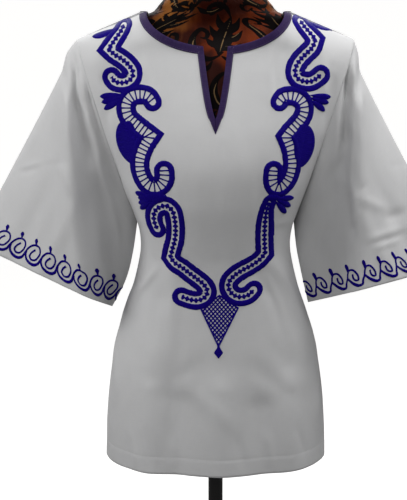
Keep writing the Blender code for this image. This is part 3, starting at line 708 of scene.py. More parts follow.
def vertex_normals(points, faces):
    mesh = bpy.data.meshes.new("normals")
    mesh.from_pydata(points.tolist(), [], faces)
    normals = np.zeros(len(points) * 3)
    mesh.vertex_normals.foreach_get("vector", normals)
    bpy.data.meshes.remove(mesh)
    return normals.reshape(-1, 3)


def turn_hem(points, normals, flat, faces, rows, **way):
    """Adds a hem turned to the inside: under the lower edge, then up behind the outer rows."""
    drop = points[rows[0]] - points[rows[1]]
    under = points[rows[0]] - normals[rows[0]] * HEM_FOLD
    extra = [under + drop / norms(drop, True) * HEM_FOLD * HEM_FOLD_DROP]
    extra += [points[row] - normals[row] * 2 * HEM_FOLD for row in rows]
    numbers = [rows[0]]
    for row in extra:
        numbers.append(len(points) + np.arange(len(row)))
        points = np.concatenate([points, row])
        flat.extend([flat[i] for i in rows[0]])
    faces.extend(quads(np.array(numbers), **way))
    return points


def cloth_object(name, points, faces, flat, wall=CLOTH_WALL):
    """Sheet of cloth with a real wall, its flat places in metres in its own map."""
    item = new_object(name, points, faces)
    layer = item.data.uv_layers.new(name="cloth")
    corners = np.zeros(len(item.data.loops), int)
    item.data.loops.foreach_get("vertex_index", corners)
    layer.data.foreach_set("uv", np.asarray(flat, float)[corners].ravel())
    if wall:
        solid = item.modifiers.new("wall", "SOLIDIFY")
        solid.thickness = wall
        solid.offset = -1
        bpy.ops.object.modifier_apply(modifier="wall")
    item.data.shade_smooth()
    return item


def plain_weave(finish, threads, depth, color, lighter, roughness):
    """Woven cotton: threads over and under, uneven threads, and a soft change of tone."""
    u, v = finish.across_and_along("cloth")
    crossing = finish.sum("SINE", u * (math.pi / threads)) * finish.sum("SINE", v * (math.pi / threads))
    along = finish.cloud(finish.place((*THREAD_CLOUDS, 1), "cloth"), 1, 1)
    across = finish.cloud(finish.place((*THREAD_CLOUDS[::-1], 1), "cloth"), 1, 1)
    broad, *uneven = TONE_SHARES
    tone = broad * finish.cloud(finish.place(), *TONE_CLOUD) + uneven[0] * along + uneven[1] * across
    finish.show(
        color=finish.blend(finish.between(tone, *TONE_EDGES), color, lighter),
        roughness=roughness + CROSSING_ROUGHNESS * crossing,
        height=crossing * 0.5 + along * 0.5 + across * 0.5,
        depth=depth,
    )


cotton = Finish("starched_cotton", COTTON_SHEEN)
plain_weave(cotton, THREAD_PITCH, WEAVE_DEPTH, COTTON_GREY, COTTON_LIGHT, COTTON_ROUGHNESS)


def make_panel(layer):
    """Fine sheet of the front or back with its creases, seams and hem."""
    rows = np.arange((SIDE_ROWS + ARMHOLE_ROWS) * ROW_STEPS + 1) / ROW_STEPS
    rows = np.sort(np.append(rows, HEM_LINE_ROWS))
    columns = np.arange(COLUMNS * COLUMN_STEPS + 1) / COLUMN_STEPS
    open_from = SIDE_ROWS + (CHEST_ROWS if layer == "front" else SLIT_TOP)
    points, flat, calm, dips, index, faces = [], [], [], [], {}, []
    for side in (1, -1):
        grid = np.array([[panel_point(side, row, column, layer) for column in columns] for row in rows])
        out, up = lengths_from_start(grid, 1), lengths_from_start(grid, 0)
        from_neck = np.where(rows[:, None] > open_from - 1, out, 1.0)
        numbers = len(points) + numbered(grid)
        points.extend(grid.reshape(-1, 3))
        level = up[:, 2 * COLUMNS, None] + 0 * out
        flat.extend(np.stack([side * (out + np.abs(grid[:, :1, 0])), level], -1).reshape(-1, 2))
        nearest = np.minimum(out[:, -1:] - out, up[-1:] - up)
        soft = np.clip(nearest / CALM_BESIDE_SEAM, 0, 1) * np.clip(from_neck / CALM_BESIDE_BINDING, 0, 1)
        calm.extend((soft * soft * (3 - 2 * soft)).ravel())
        dips.extend(np.exp(-((nearest / SEAM_SPREAD) ** 2)).ravel())
        if side == -1:
            shared = rows <= open_from
            numbers[shared, 0] = index[1][shared, 0]
        index[side] = numbers
        faces.extend(quads(numbers, turned=(side == 1) != (layer == "front")))
    points = np.array(points)
    normals = vertex_normals(points, faces)
    for number, point in enumerate(points):
        lift = (crease_height(CREASES[layer], point[0], point[2]) + ripple(point)) * calm[number]
        if point[2] > SHOULDER_REST_Z:
            lift = max(lift, LEAST_OVER_FORM)
        wave = point[2] * PUCKER_WAVE + 3 * noise.noise(Vector(point) * PUCKER_UNEVEN)
        lift -= (SEAM_DIP + SEAM_PUCKER * math.sin(wave)) * dips[number]
        over_line = (point[2] - HEM_Z - HEM_LINE) / HEM_LINE_SPREAD
        lift += HEM_BULGE * smooth_step(-over_line / 2) - HEM_LINE_DENT * math.exp(-over_line * over_line)
        points[number] += normals[number] * lift
    normals = vertex_normals(points, faces)
    surface = BVHTree.FromPolygons(points.tolist(), [tuple(face) for face in faces])
    left, right = (index[side][np.searchsorted(rows, max(HEM_LINE_ROWS))] for side in (-1, 1))
    line = np.concatenate([left[:0:-1], right])
    hem_line = (points[line], normals[line])
    hem_rows = range(np.searchsorted(rows, HEM_TURNED * SIDE_ROWS / (UNDERARM_Z - HEM_Z)))
    for side in (1, -1):
        edge_rows = [index[side][row] for row in hem_rows]
        turned_over = (side == 1) == (layer == "front")
        points = turn_hem(points, normals, flat, faces, edge_rows, turned=turned_over)
    item = cloth_object(layer + "_panel_cloth", points, faces, flat)
    finish_piece(item, cotton, "cotton", layer + "_panel")
    return item, surface, hem_line


front_panel, front_surface, front_hem_line = make_panel("front")
back_panel, _, back_hem_line = make_panel("back")

# Sleeves: one wide piece of the same cotton each, folded at the top and sewn to the dropped
# armhole. They hang open as starched bells, with one soft ridge down the front and the back.
Ridge = namedtuple("Ridge", "top_x foot_x top_depth foot_depth softness")
SleeveFold = namedtuple("SleeveFold", "across_top across_foot width height")

# The upper and the lower fold are rows of: share of the way to the hem, x and z
Sleeve = namedtuple("Sleeve", "name side upper lower ridges folds creases")
ARMHOLE_TOP = (0.00, SHOULDER_X, SHOULDER_Z)
ARMHOLE_FOOT = (0.00, UNDERARM_X, UNDERARM_Z)
SLEEVES = (
    Sleeve(
        name="sleeve_right",
        side=1,
        upper=(ARMHOLE_TOP, (0.07, 0.2310, 1.335), (0.16, 0.2370, 1.302), (1.00, 0.4085, 0.989)),
        lower=(ARMHOLE_FOOT, (0.35, 0.1355, 1.014), (0.70, 0.1460, 0.964), (1.00, 0.1560, 0.922)),
        ridges={
            "front": Ridge(0.228, 0.236, 0.058, 0.072, 0.020),
            "back": Ridge(0.250, 0.275, 0.052, 0.060, 0.026),
        },
        folds={
            "front": (
                SleeveFold(0.30, 0.26, 0.060, -0.0040),
                SleeveFold(0.50, 0.45, 0.050, 0.0030),
                SleeveFold(0.85, 0.82, 0.055, -0.0035),
            ),
            "back": (SleeveFold(0.30, 0.24, 0.070, -0.0040), SleeveFold(0.75, 0.74, 0.070, 0.0035)),
        },
        creases={
            "front": in_metres(
                (213, 1350, 210, 1265, 6, -9), (210, 1292, 202, 1190, 8, -10),
                (203, 1215, 198, 1140, 9, -5.5), (221, 1320, 218, 1237, 5, 2.4),
                (214, 1241, 215, 1131, 5, 2.2), (216, 1142, 227, 1051, 6, 2.2),
                (232, 1284, 232, 1221, 4, 1.2), (209, 1118, 220, 1041, 7, -2.4),
                (189, 1157, 188, 1077, 8, -2.6), (174, 1181, 166, 1099, 7, 2.2),
                (180, 1075, 169, 988, 8, -1.8), (223, 1109, 275, 1085, 7, 2),
                (229, 1120, 244, 1126, 3, -1.2), (273, 1070, 314, 1078, 8, -2),
                (244, 1041, 312, 1054, 6, 1.6), (257, 1025, 298, 1034, 4, 1), (250, 1033, 307, 1043, 3, -1),
                (283, 1153, 314, 1156, 3, -0.8),
            ),
            "back": in_metres(
                (235, 1280, 270, 1130, 9, 3.7), (215, 1250, 210, 1090, 9, -3.4),
                (290, 1150, 330, 1040, 9, 3.1), (190, 1120, 200, 980, 10, 2.7),
            ),
        },
    ),
    Sleeve(
        name="sleeve_left",
        side=-1,
        upper=(ARMHOLE_TOP, (0.07, 0.2405, 1.336), (0.16, 0.2515, 1.303), (1.00, 0.4060, 1.024)),
        lower=(ARMHOLE_FOOT, (0.35, 0.1385, 1.006), (0.70, 0.1510, 0.960), (1.00, 0.1740, 0.915)),
        ridges={
            "front": Ridge(0.244, 0.208, 0.058, 0.070, 0.020),
            "back": Ridge(0.255, 0.268, 0.052, 0.062, 0.026),
        },
        folds={
            "front": (
                SleeveFold(0.28, 0.30, 0.060, -0.0035),
                SleeveFold(0.52, 0.50, 0.050, 0.0030),
                SleeveFold(0.84, 0.86, 0.055, -0.0030),
            ),
            "back": (SleeveFold(0.32, 0.28, 0.070, -0.0035), SleeveFold(0.72, 0.76, 0.070, 0.0040)),
        },
        creases={
            "front": in_metres(
                (-231, 1330, -220, 1232, 6, -9.5), (-220, 1264, -201, 1162, 9, -8),
                (-236, 1268, -230, 1179, 5, 2), (-213, 1291, -197, 1213, 6, 3),
                (-196, 1222, -172, 1102, 7, 3), (-173, 1119, -159, 1027, 7, 2.6),
                (-202, 1308, -197, 1250, 5, -5), (-199, 1266, -174, 1184, 7, -4),
                (-175, 1194, -153, 1112, 8, -3), (-211, 1157, -203, 1065, 10, -2.6),
                (-246, 1157, -225, 1109, 8, 1.6), (-322, 1141, -286, 1152, 4, -1.4),
                (-315, 1148, -282, 1159, 5, 1), (-282, 1154, -221, 1164, 3, -0.8),
                (-247, 1101, -253, 1021, 9, 1.4), (-285, 1243, -301, 1179, 9, 1.4),
                (-193, 1060, -187, 959, 8, 1.8),
            ),
            "back": in_metres(
                (-240, 1280, -275, 1150, 9, 3.7), (-220, 1250, -212, 1100, 9, -3.4),
                (-300, 1160, -335, 1060, 9, -3.1), (-190, 1110, -205, 970, 10, 2.7),
            ),
        },
    ),
)
RIDGE_STARTS = 0.40
LEAST_RIDGE_SHARE = 0.14
SLEEVE_FULLNESS = 0.012
SLEEVE_RIPPLE = 1.4
HEM_LIFT = 0.20
RIDGE_ROW = 10
RIDGE_SHARE = armhole_share(RIDGE_ROW)
SLEEVE_STEPS = 84
SLEEVE_ALONG = [0.0, 0.004, 0.010, 0.018] + [step / SLEEVE_STEPS for step in range(2, SLEEVE_STEPS + 1)]
SLEEVE_ROWS = [0.0, 0.04, 0.10] + [step / ROW_STEPS for step in range(1, ARMHOLE_ROWS * ROW_STEPS + 1)]
SLEEVE_HEM_ROWS = 3
SLEEVE_LINE_ROW = 2
CALM_AT_FOLD = 0.035
CALM_AT_ARMHOLE = 0.009


def soft_minimum(a, b, softness):
    near = max(softness - abs(a - b), 0.0) / softness
    return min(a, b) - near * near * softness / 4


def sleeve_point(sleeve, along, row, layer):
    """Point of a sleeve, along from armhole to hem, row from its lower to its upper fold."""
    upper_x, upper_z = (curve_through(sleeve.upper, position, along) for position in (1, 2))
    lower_x, lower_z = (curve_through(sleeve.lower, position, along) for position in (1, 2))
    ridge = sleeve.ridges[layer]
    ridge_x = between(ridge.top_x, ridge.foot_x, along)
    at_ridge = max((upper_x - ridge_x) / (upper_x - lower_x), LEAST_RIDGE_SHARE)
    share, own, pushed = armhole_share(row), RIDGE_SHARE, max(at_ridge, RIDGE_SHARE)
    share = share * pushed / own if share <= own else 1 - (1 - share) * (1 - pushed) / (1 - own)
    height = between(ridge.top_depth, ridge.foot_depth, along)
    folded = soft_minimum(height * share / at_ridge, height * (1 - share) / (1 - at_ridge), ridge.softness)
    folded += SLEEVE_FULLNESS * math.sqrt(4 * share * (1 - share))
    change = smooth_step(along / RIDGE_STARTS)
    depth = between(lens(share, ARMHOLE_DEPTH[layer]), folded, change)
    for fold in sleeve.folds[layer]:
        away = (share - between(fold.across_top, fold.across_foot, along)) / fold.width
        depth += fold.height * math.exp(-away * away) * change * along * 4 * share * (1 - share)
    x = between(upper_x, lower_x, share)
    z = between(upper_z, lower_z, share) + HEM_LIFT * depth * along * along
    return (sleeve.side * x, SIGN[layer] * depth, z), share


def make_sleeve(sleeve):
    """Fine closed tube of one sleeve, its creases, armhole seam and turned hem."""
    around = [(row, "front") for row in SLEEVE_ROWS] + [(row, "back") for row in SLEEVE_ROWS[-2:0:-1]]
    both = [[sleeve_point(sleeve, along, *spot) for spot in around] for along in SLEEVE_ALONG]
    grid = np.array([[place for place, _ in ring] for ring in both])
    index, down = numbered(grid), lengths_from_start(grid, 0)
    faces = list(quads(index, closed=True, turned=sleeve.side == 1))
    points = grid.reshape(-1, 3).copy()
    flat = list(np.stack([lengths_from_start(grid, 1), down], -1).reshape(-1, 2))
    normals = vertex_normals(points, faces)
    for number, point in enumerate(points):
        ring, step = divmod(number, len(around))
        share, below = both[ring][step][1], down[ring][step]
        calm = smooth_step(min(share, 1 - share) / CALM_AT_FOLD) * smooth_step(below / CALM_AT_ARMHOLE)
        lift = crease_height(sleeve.creases[around[step][1]], point[0], point[2])
        lift += SLEEVE_RIPPLE * ripple(point)
        dip = math.exp(-((below / SEAM_SPREAD) ** 2))
        points[number] += normals[number] * (lift * calm - SEAM_DIP * dip)
    normals = vertex_normals(points, faces)
    edge_rows = [index[-1 - step] for step in range(SLEEVE_HEM_ROWS + 1)]
    points = turn_hem(points, normals, flat, faces, edge_rows, closed=True, turned=sleeve.side == 1)
    item = cloth_object(sleeve.name + "_cloth", points, faces, flat)
    finish_piece(item, cotton, "cotton", sleeve.name)
    return item, points[: index.size].reshape(grid.shape), normals.reshape(grid.shape)


sleeve_grids = {}
for sleeve in SLEEVES:
    made, *sleeve_grids[sleeve.name] = make_sleeve(sleeve)

# Neck binding: one narrow strip of dark purple cotton, folded over the raw edge of the neckline
# and of both sides of the slit, mitred at the slit's corners and stitched down along its edge.
BINDING_HEIGHT = 0.0014
BINDING_INSIDE = 0.0013
BINDING_ROLL = 0.0006
BINDING_ROLLED_TO = 0.04
BINDING_THINNEST = 0.35
BINDING_FULL_WIDTH = 0.008
BINDING_LINE = 3
BINDING_MIDDLE = 5
BINDING_SMOOTHED = 3

# Place across the strip, and height over the cloth in parts of the strip's own height
BINDING_PROFILE = (
    (1.00, -0.10), (1.01, 0.45), (0.96, 0.80), (0.86, 0.90), (0.70, 1.00), (0.45, 1.04), (0.22, 1.00),
    (0.06, 0.80), (0.00, 0.30), (0.01, -0.50), (0.10, -0.95), (0.50, -1.00), (0.84, -0.95), (0.86, -0.60),
)
PURPLE = (0.021, 0.009, 0.054, 1.0)
PURPLE_WORN = (0.046, 0.030, 0.088, 1.0)
PURPLE_ROUGHNESS, PURPLE_DEPTH = 0.66, 0.00010
PURPLE_PITCH = THREAD_PITCH * 1.2
Station = namedtuple("Station", "place away width layer")
SLIT_STATIONS = 56
SLIT_CROWDING = 1.4
TIP_STATIONS = 12
TIP_NARROWING = 0.96
CORNER_STATIONS = 9
NECK_STATIONS = 60
OUTWARDS = Vector((1, 0))
CLOSE_BY = 0.0008
MIRROR = np.array([-1, 1, 1])


def binding_stations():
    """From the back's centre over the shoulder, round the corner and down the slit to its tip."""
    stations = []
    for layer, start, end, skipped in (("back", NECK_ROWS, 0, 0), ("front", 0, NECK_ROWS, 1)):
        for row in np.linspace(start, end, NECK_STATIONS)[skipped:]:
            stations.append(Station(*neckline_point(row, layer), NECK_BINDING, layer))
    corner = stations[-1]
    first = math.atan2(corner.away.y, corner.away.x)
    for step in range(1, CORNER_STATIONS):
        share = step / CORNER_STATIONS
        away = Vector((math.cos(first * (1 - share)), math.sin(first * (1 - share))))
        stations.append(Station(corner.place, away, between(NECK_BINDING, SLIT_BINDING, share), "front"))
    for step in range(SLIT_STATIONS):
        up = (1 - step / (SLIT_STATIONS - 1)) ** SLIT_CROWDING
        stations.append(Station(slit_point(up), OUTWARDS, SLIT_BINDING, "front"))
    for step in range(1, TIP_STATIONS + 1):
        share = step / TIP_STATIONS
        place = (0.0, SLIT_TIP_Z - SLIT_BINDING_TIP * share)
        stations.append(Station(place, OUTWARDS, SLIT_BINDING * (1 - TIP_NARROWING * share), "front"))
    return stations


def panel_surface(x, z, layer):
    """Point of the cloth's outer side at a place seen from the front, and the way out of it."""
    depth, near = body_depth(x, z, layer), CLOSE_BY
    if depth == 0.0:
        return Vector((x, 0.0, z)), Vector((SHOULDER_SLOPE, 0.0, 1.0)).normalized()
    over = (body_depth(x + near, z, layer) - body_depth(x - near, z, layer)) / (2 * near)
    up = (body_depth(x, z + near, layer) - body_depth(x, z - near, layer)) / (2 * near)
    return Vector((x, SIGN[layer] * depth, z)), Vector((-over, SIGN[layer], -up)).normalized()


def outward(points, faces):
    """Faces of a closed shell, all turned round if they look to its inside."""
    fans = np.array([(face[0], face[k], face[k + 1]) for face in faces for k in range(1, len(face) - 1)])
    corners = np.asarray(points, float)[fans]
    volume = (corners[:, 0] * np.cross(corners[:, 1], corners[:, 2])).sum()
    return faces if volume > 0 else [face[::-1] for face in faces]


def make_binding():
    """One closed strip from the tip of the slit round the neck and back, and its stitch lines."""
    places, ways, heights = [], [], []
    for station in binding_stations():
        full = min(1.0, BINDING_THINNEST + station.width / BINDING_FULL_WIDTH)
        for across, height in BINDING_PROFILE:
            roll = min(BINDING_ROLL, station.place[0]) if across < BINDING_ROLLED_TO else 0.0
            reach = station.width * across - roll
            place, out = panel_surface(*beyond(station.place, station.away, reach), station.layer)
            places.append(place)
            ways.append(out)
            heights.append(height * (BINDING_HEIGHT if height > 0 else BINDING_INSIDE) * full)
    ring = len(BINDING_PROFILE)
    ways = np.array(ways).reshape(-1, ring, 3)
    for _ in range(BINDING_SMOOTHED):
        ways[1:-1] = (ways[:-2] + 2 * ways[1:-1] + ways[2:]) / 4
    ways /= norms(ways, True)
    right = np.array(places).reshape(-1, ring, 3) + ways * np.array(heights).reshape(-1, ring, 1)
    grid = np.concatenate([right[:0:-1] * MIRROR, right])
    index = numbered(grid)
    faces = outward(grid.reshape(-1, 3), [*quads(index, closed=True), index[0][::-1], index[-1]])
    along, across = lengths_from_start(grid, 0), lengths_from_start(grid, 1)
    flat = np.stack([across, along[:, BINDING_MIDDLE, None] + 0 * along], -1).reshape(-1, 2)
    item = cloth_object("neck_binding_cloth", grid.reshape(-1, 3), faces, flat, wall=0)
    return item, [(sign * right[:, BINDING_LINE], sign * ways[:, BINDING_LINE]) for sign in (1, MIRROR)]


purple = Finish("purple_binding", {"Specular IOR Level": 0.08})
plain_weave(purple, PURPLE_PITCH, PURPLE_DEPTH, PURPLE, PURPLE_WORN, PURPLE_ROUGHNESS)
neck_binding, binding_lines = make_binding()
finish_piece(neck_binding, purple, "binding", "neck_binding")

# Chest embroidery: satin stitch in royal blue thread, sewn through the front panel. Scrolled bands
# run down both sides to a lattice point, each an outline with beads or ladder bars inside it.
BLUE = (0.005, 0.001, 0.150, 1.0)
BLUE_LIGHT = (0.012, 0.003, 0.245, 1.0)
SATIN_PITCH = 0.00050
SATIN_SLANT = 0.25
SATIN_CLOUDS = (1400, 60, 1)
SATIN_EDGES = (0.40, 0.72)
SATIN_ROUGHNESS, SATIN_LINE_ROUGHNESS, SATIN_DEPTH = 0.40, 0.08, 0.00012
SATIN_SOFT_EDGE = math.radians(60)
STITCH_SPACING = 0.0018
SATIN_ROUND = 0.8
SATIN_HALF_STEPS = 3
SATIN_LOWEST = 0.25
SATIN_FULL_HALF = 0.0012
WIDEST_STEP = 0.0040
LONGEST_STEP = 0.0050
REFINED_ROUNDS = 3
STITCH_ROOT = 0.0003
OUTLINE_HALF = 0.0046
OUTLINE_INNER = 0.6
OUTLINE_KEPT = 0.97
OUTLINE_UNEVEN = 0.13
UNEVEN_FINENESS = 290
OUTLINE_HEIGHT = 0.0012
BANDS_APART = 0.00004
BEAD_HALF = (0.0013, 0.0047)
BEAD_PITCH = 0.0072
BEAD_SPACING = 0.0009
BEAD_HEIGHT = 0.0012
BAR_PITCH = 0.0070
BAR_UNEVEN = 0.15
BAR_NOISE = (0.9, 1000, 0.5)
BAR_HALF = (0.0011, 0.0016)
BAR_HEIGHT = 0.0008
BAR_PLACES = 7
BARS_TURN_OVER = 4
BAND_WIDENS_OVER = 0.025
CAP_STEPS = 9
LEAST_MITRE = 0.3
MOST_MITRE = 2.0
TINY = 1e-9
OVER_SHOULDER_Y = -0.02

Band = namedtuple("Band", "name half_start half_end inside corner points")
BANDS = (
    Band("top_left", 0.0096, 0.0110, "beads", 3, (
        (-0.1452, 1.3775), (-0.1478, 1.3695), (-0.1554, 1.3571), (-0.1675, 1.3390), (-0.1577, 1.3305),
        (-0.1472, 1.3242), (-0.1357, 1.3149), (-0.1285, 1.3041), (-0.1293, 1.2952), (-0.1366, 1.2888),
        (-0.1470, 1.2868), (-0.1576, 1.2896), (-0.1624, 1.2958),
    )),
    Band("top_right", 0.0094, 0.0110, "beads", 3, (
        (0.1346, 1.3840), (0.1398, 1.3750), (0.1481, 1.3646), (0.1566, 1.3544), (0.1515, 1.3420),
        (0.1401, 1.3306), (0.1305, 1.3205), (0.1244, 1.3094), (0.1237, 1.3002), (0.1287, 1.2926),
        (0.1382, 1.2891), (0.1487, 1.2892), (0.1584, 1.2942), (0.1645, 1.2992),
    )),
    Band("middle_left", 0.0098, 0.0116, "bars", 9, (
        (-0.0968, 1.2575), (-0.1028, 1.2656), (-0.1170, 1.2690), (-0.1296, 1.2660), (-0.1373, 1.2576),
        (-0.1388, 1.2451), (-0.1354, 1.2348), (-0.1252, 1.2249), (-0.1133, 1.2156), (-0.0999, 1.2060),
        (-0.1062, 1.1967), (-0.1118, 1.1859), (-0.1160, 1.1749), (-0.1179, 1.1635), (-0.1165, 1.1503),
        (-0.1114, 1.1383), (-0.1032, 1.1292), (-0.0944, 1.1268), (-0.0844, 1.1315), (-0.0785, 1.1419),
        (-0.0787, 1.1530),
    )),
    Band("middle_right", 0.0098, 0.0110, "bars", 10, (
        (0.0986, 1.2575), (0.1041, 1.2648), (0.1143, 1.2669), (0.1253, 1.2650), (0.1341, 1.2589),
        (0.1381, 1.2497), (0.1374, 1.2405), (0.1325, 1.2306), (0.1245, 1.2215), (0.1149, 1.2118),
        (0.1090, 1.2043), (0.1130, 1.1950), (0.1167, 1.1842), (0.1185, 1.1733), (0.1192, 1.1623),
        (0.1178, 1.1514), (0.1140, 1.1405), (0.1075, 1.1315), (0.1000, 1.1267), (0.0927, 1.1280),
        (0.0890, 1.1350), (0.0882, 1.1440), (0.0892, 1.1530),
    )),
    Band("lower_left", 0.0098, 0.0106, "beads", 11, (
        (-0.0918, 1.0592), (-0.0956, 1.0683), (-0.0970, 1.0792), (-0.0944, 1.0889), (-0.0866, 1.0961),
        (-0.0759, 1.0984), (-0.0674, 1.0917), (-0.0633, 1.0765), (-0.0623, 1.0602), (-0.0637, 1.0440),
        (-0.0682, 1.0274), (-0.0710, 1.0148), (-0.0646, 1.0071), (-0.0527, 0.9997), (-0.0401, 0.9900),
        (-0.0272, 0.9804), (-0.0173, 0.9714), (-0.0129, 0.9609), (-0.0182, 0.9512), (-0.0300, 0.9471),
        (-0.0427, 0.9488), (-0.0538, 0.9524),
    )),
    Band("lower_right", 0.0065, 0.0106, "beads", 6, (
        (0.0836, 1.1040), (0.0799, 1.0933), (0.0779, 1.0788), (0.0770, 1.0624), (0.0770, 1.0460),
        (0.0776, 1.0327), (0.0784, 1.0203), (0.0687, 1.0102), (0.0560, 1.0022), (0.0422, 0.9954),
        (0.0299, 0.9873), (0.0220, 0.9778), (0.0205, 0.9689), (0.0245, 0.9600), (0.0332, 0.9536),
        (0.0427, 0.9526), (0.0531, 0.9557), (0.0603, 0.9624),
    )),
)
SECOND_LINE = ((0.0880, 1.0895), (0.0908, 1.0710), (0.0916, 1.0492))
SECOND_HALF = 0.0012

# Solid leaves beside the bands, in thousandths: x and z at the root, x and z at the tip, half
# width, share of the length where it is fullest, and sideways bend
Leaf = namedtuple("Leaf", "x_root z_root x_tip z_tip half fullest bend")
LEAVES = (
    (-146, 1227, -129, 1162, 14.5, 480, -3), (-136, 1229, -129, 1172, 11.5, 460, 0),
    (142, 1222, 132, 1156, 15, 480, 4), (136, 1224, 128, 1165, 10.5, 460, 0),
    (-158, 1371.5, -196.5, 1359.5, 5.8, 580, 2), (150, 1382.5, 188, 1372.5, 5.2, 550, -2),
    (-142, 1269, -181.7, 1265.9, 5.6, 620, 1), (-142, 1266, -179.1, 1256.3, 5.8, 620, 0),
    (-142, 1263, -175.1, 1245.4, 5.6, 620, -1), (147, 1268, 181.4, 1265.1, 5.2, 620, -1),
    (147, 1264, 177.9, 1255.5, 5.4, 620, 0), (147, 1260, 171.5, 1242.7, 5.2, 620, 1),
    (-103, 1111, -126.2, 1117.2, 5.2, 600, 1), (-102, 1108, -122.2, 1108.3, 5.2, 600, 0),
    (-102, 1105, -121.8, 1099, 5.2, 600, 0), (-100, 1103, -119, 1089, 5.2, 600, -1),
    (-112, 1110, -74, 1112, 9.5, 500, 0), (92, 1109, 123.6, 1107.6, 5, 640, 0),
    (92.5, 1108, 118.4, 1093.5, 5, 660, 1), (91.5, 1106, 110.8, 1083.2, 5, 660, 1),
    (78, 1112, 100, 1110.5, 6.2, 500, 0),
)
LEAF_HEIGHT = 0.00108
LEAVES_APART = 0.00005
LEAF_POINTED = 0.62
LEAF_TIP_HALF = 0.0003
LEAF_LEAST_STEPS = 6

# Lattice point: threads crossed both ways inside a kite, and a small diamond hanging from it
KITE = ((-0.0229, 0.9335), (0.0063, 0.9553), (0.0356, 0.9348), (0.0048, 0.8740))
LATTICE_PITCH = 0.0049
LATTICE_TURNS = (math.radians(47), math.radians(-50))
LATTICE_HALF = 0.0012
LATTICE_HEIGHTS = (0.0008, 0.0011)
BORDER_HALF = 0.0014
DIAMOND = ((0.0048, 0.8760), (0.0048, 0.8550))
DIAMOND_HALVES = ((0.0, 0.18, 0.58, 1.0), (0.0018, 0.0022, 0.0076, 0.0006))
DIAMOND_HEIGHT = 0.00132


def smooth_line(points, spacing=STITCH_SPACING):
    """Even points along the smooth curve through a few places."""
    points = np.array(points, float)
    knots = lengths_from_start(points, 0)
    count = max(int(knots[-1] / spacing), 2)
    return smooth_through(knots, points, np.linspace(0, knots[-1], count + 1))


def read_along(lengths, table, place):
    """Row of a table at a length along its line."""
    return np.stack([np.interp(place, lengths, column) for column in table.T], axis=-1)


def halves_along(line, shares, halves):
    """Half widths given at shares of the way, read at every point of a line."""
    return np.interp(np.linspace(0, 1, len(line)), shares, halves)


def come_round(row):
    return np.vstack([row, row[:1]])


def how_near(places, line):
    return norms(places[:, None] - line[None]).min(axis=1)


def sideways(line, closed=False):
    """Direction to the left of a line at each of its points, longer where the line has a corner."""
    if closed:
        before, after = line - np.roll(line, 1, axis=0), np.roll(line, -1, axis=0) - line
    else:
        steps = np.diff(line, axis=0)
        before, after = np.vstack([steps[:1], steps]), np.vstack([steps, steps[-1:]])
    ways = []
    for step in (before, after):
        step = step / np.maximum(norms(step, True), TINY)
        ways.append(np.stack([-step[:, 1], step[:, 0]], axis=1))
    longer = 1 + (ways[0] * ways[1]).sum(axis=1, keepdims=True)
    mitre = (ways[0] + ways[1]) / np.maximum(longer, LEAST_MITRE)
    return mitre * np.minimum(1.0, MOST_MITRE / np.maximum(norms(mitre, True), TINY))


class Stitching:
    """Satin ribbons laid on cloth: rings of points for all the strokes of one piece."""

    def __init__(self, on_cloth, longest=None):
        self.on_cloth, self.longest = on_cloth, longest
        self.points, self.faces, self.flat = [], [], []

    def refined(self, line, halves, closed):
        """More places on a stroke where the cloth turns away, as on top of the shoulders."""
        for _ in range(REFINED_ROUNDS):
            ends = come_round(line) if closed else line
            spots = np.array([self.on_cloth(*place)[0] for place in ends])
            after = np.nonzero(norms(np.diff(spots, axis=0)) > self.longest)[0]
            middle_halves = (halves[after] + halves[(after + 1) % len(halves)]) / 2
            line = np.insert(line, after + 1, (ends[after] + ends[after + 1]) / 2, axis=0)
            halves = np.insert(halves, after + 1, middle_halves)
        return line, halves

    def ribbon(self, line, halves, height, closed=False):
        line = np.asarray(line, float)
        halves = np.broadcast_to(halves, len(line))
        if self.longest:
            line, halves = self.refined(line, halves, closed)
        first = len(self.points)
        half_steps = max(SATIN_HALF_STEPS, math.ceil(halves.max() / WIDEST_STEP))
        turns = np.linspace(-math.pi / 2, math.pi / 2, 2 * half_steps + 1)
        satin_profile = list(zip(np.sin(turns), np.abs(np.cos(turns)) ** SATIN_ROUND))
        lengths = lengths_from_start(line, 0)
        for place, way, half, length in zip(line, sideways(line, closed), halves, lengths):
            lift = height * min(1.0, SATIN_LOWEST + half / SATIN_FULL_HALF)
            profile = [(across, up * lift) for across, up in satin_profile]
            for across, up in [(-1.0, -STITCH_ROOT), *profile, (1.0, -STITCH_ROOT)]:
                spot, out = self.on_cloth(*(place + way * across * half))
                self.points.append(spot + out * up)
                self.flat.append((length, across * half))
        index = np.arange(len(self.points) - first).reshape(len(line), -1)
        ends = [] if closed else [index[0][::-1], index[-1]]
        index = come_round(index) if closed else index
        faces = outward(self.points[first:], [*quads(index, closed=True), *ends])
        self.faces.extend(face + first for face in faces)

    def leaf(self, leaf, height):
        root, along = np.array(leaf[0:2]), np.array(leaf[2:4]) - np.array(leaf[0:2])
        size = norms(along)
        t = np.linspace(0, 1, max(int(size / STITCH_SPACING), LEAF_LEAST_STEPS) + 1)
        left = np.array([-along[1], along[0]]) / size
        line = root + along * t[:, None] + left * leaf.bend * 4 * (t * (1 - t))[:, None]
        power = leaf.fullest / (1 - leaf.fullest)
        full = (t ** (LEAF_POINTED * power)) * (1 - t) ** LEAF_POINTED
        self.ribbon(line, np.maximum(leaf.half * full / full.max(), LEAF_TIP_HALF), height)

    def piece(self, name, finish, slot="embroidery"):
        item = cloth_object(name, self.points, self.faces, self.flat, wall=0)
        bpy.ops.object.shade_smooth_by_angle(angle=SATIN_SOFT_EDGE)
        finish_piece(item, finish, slot)


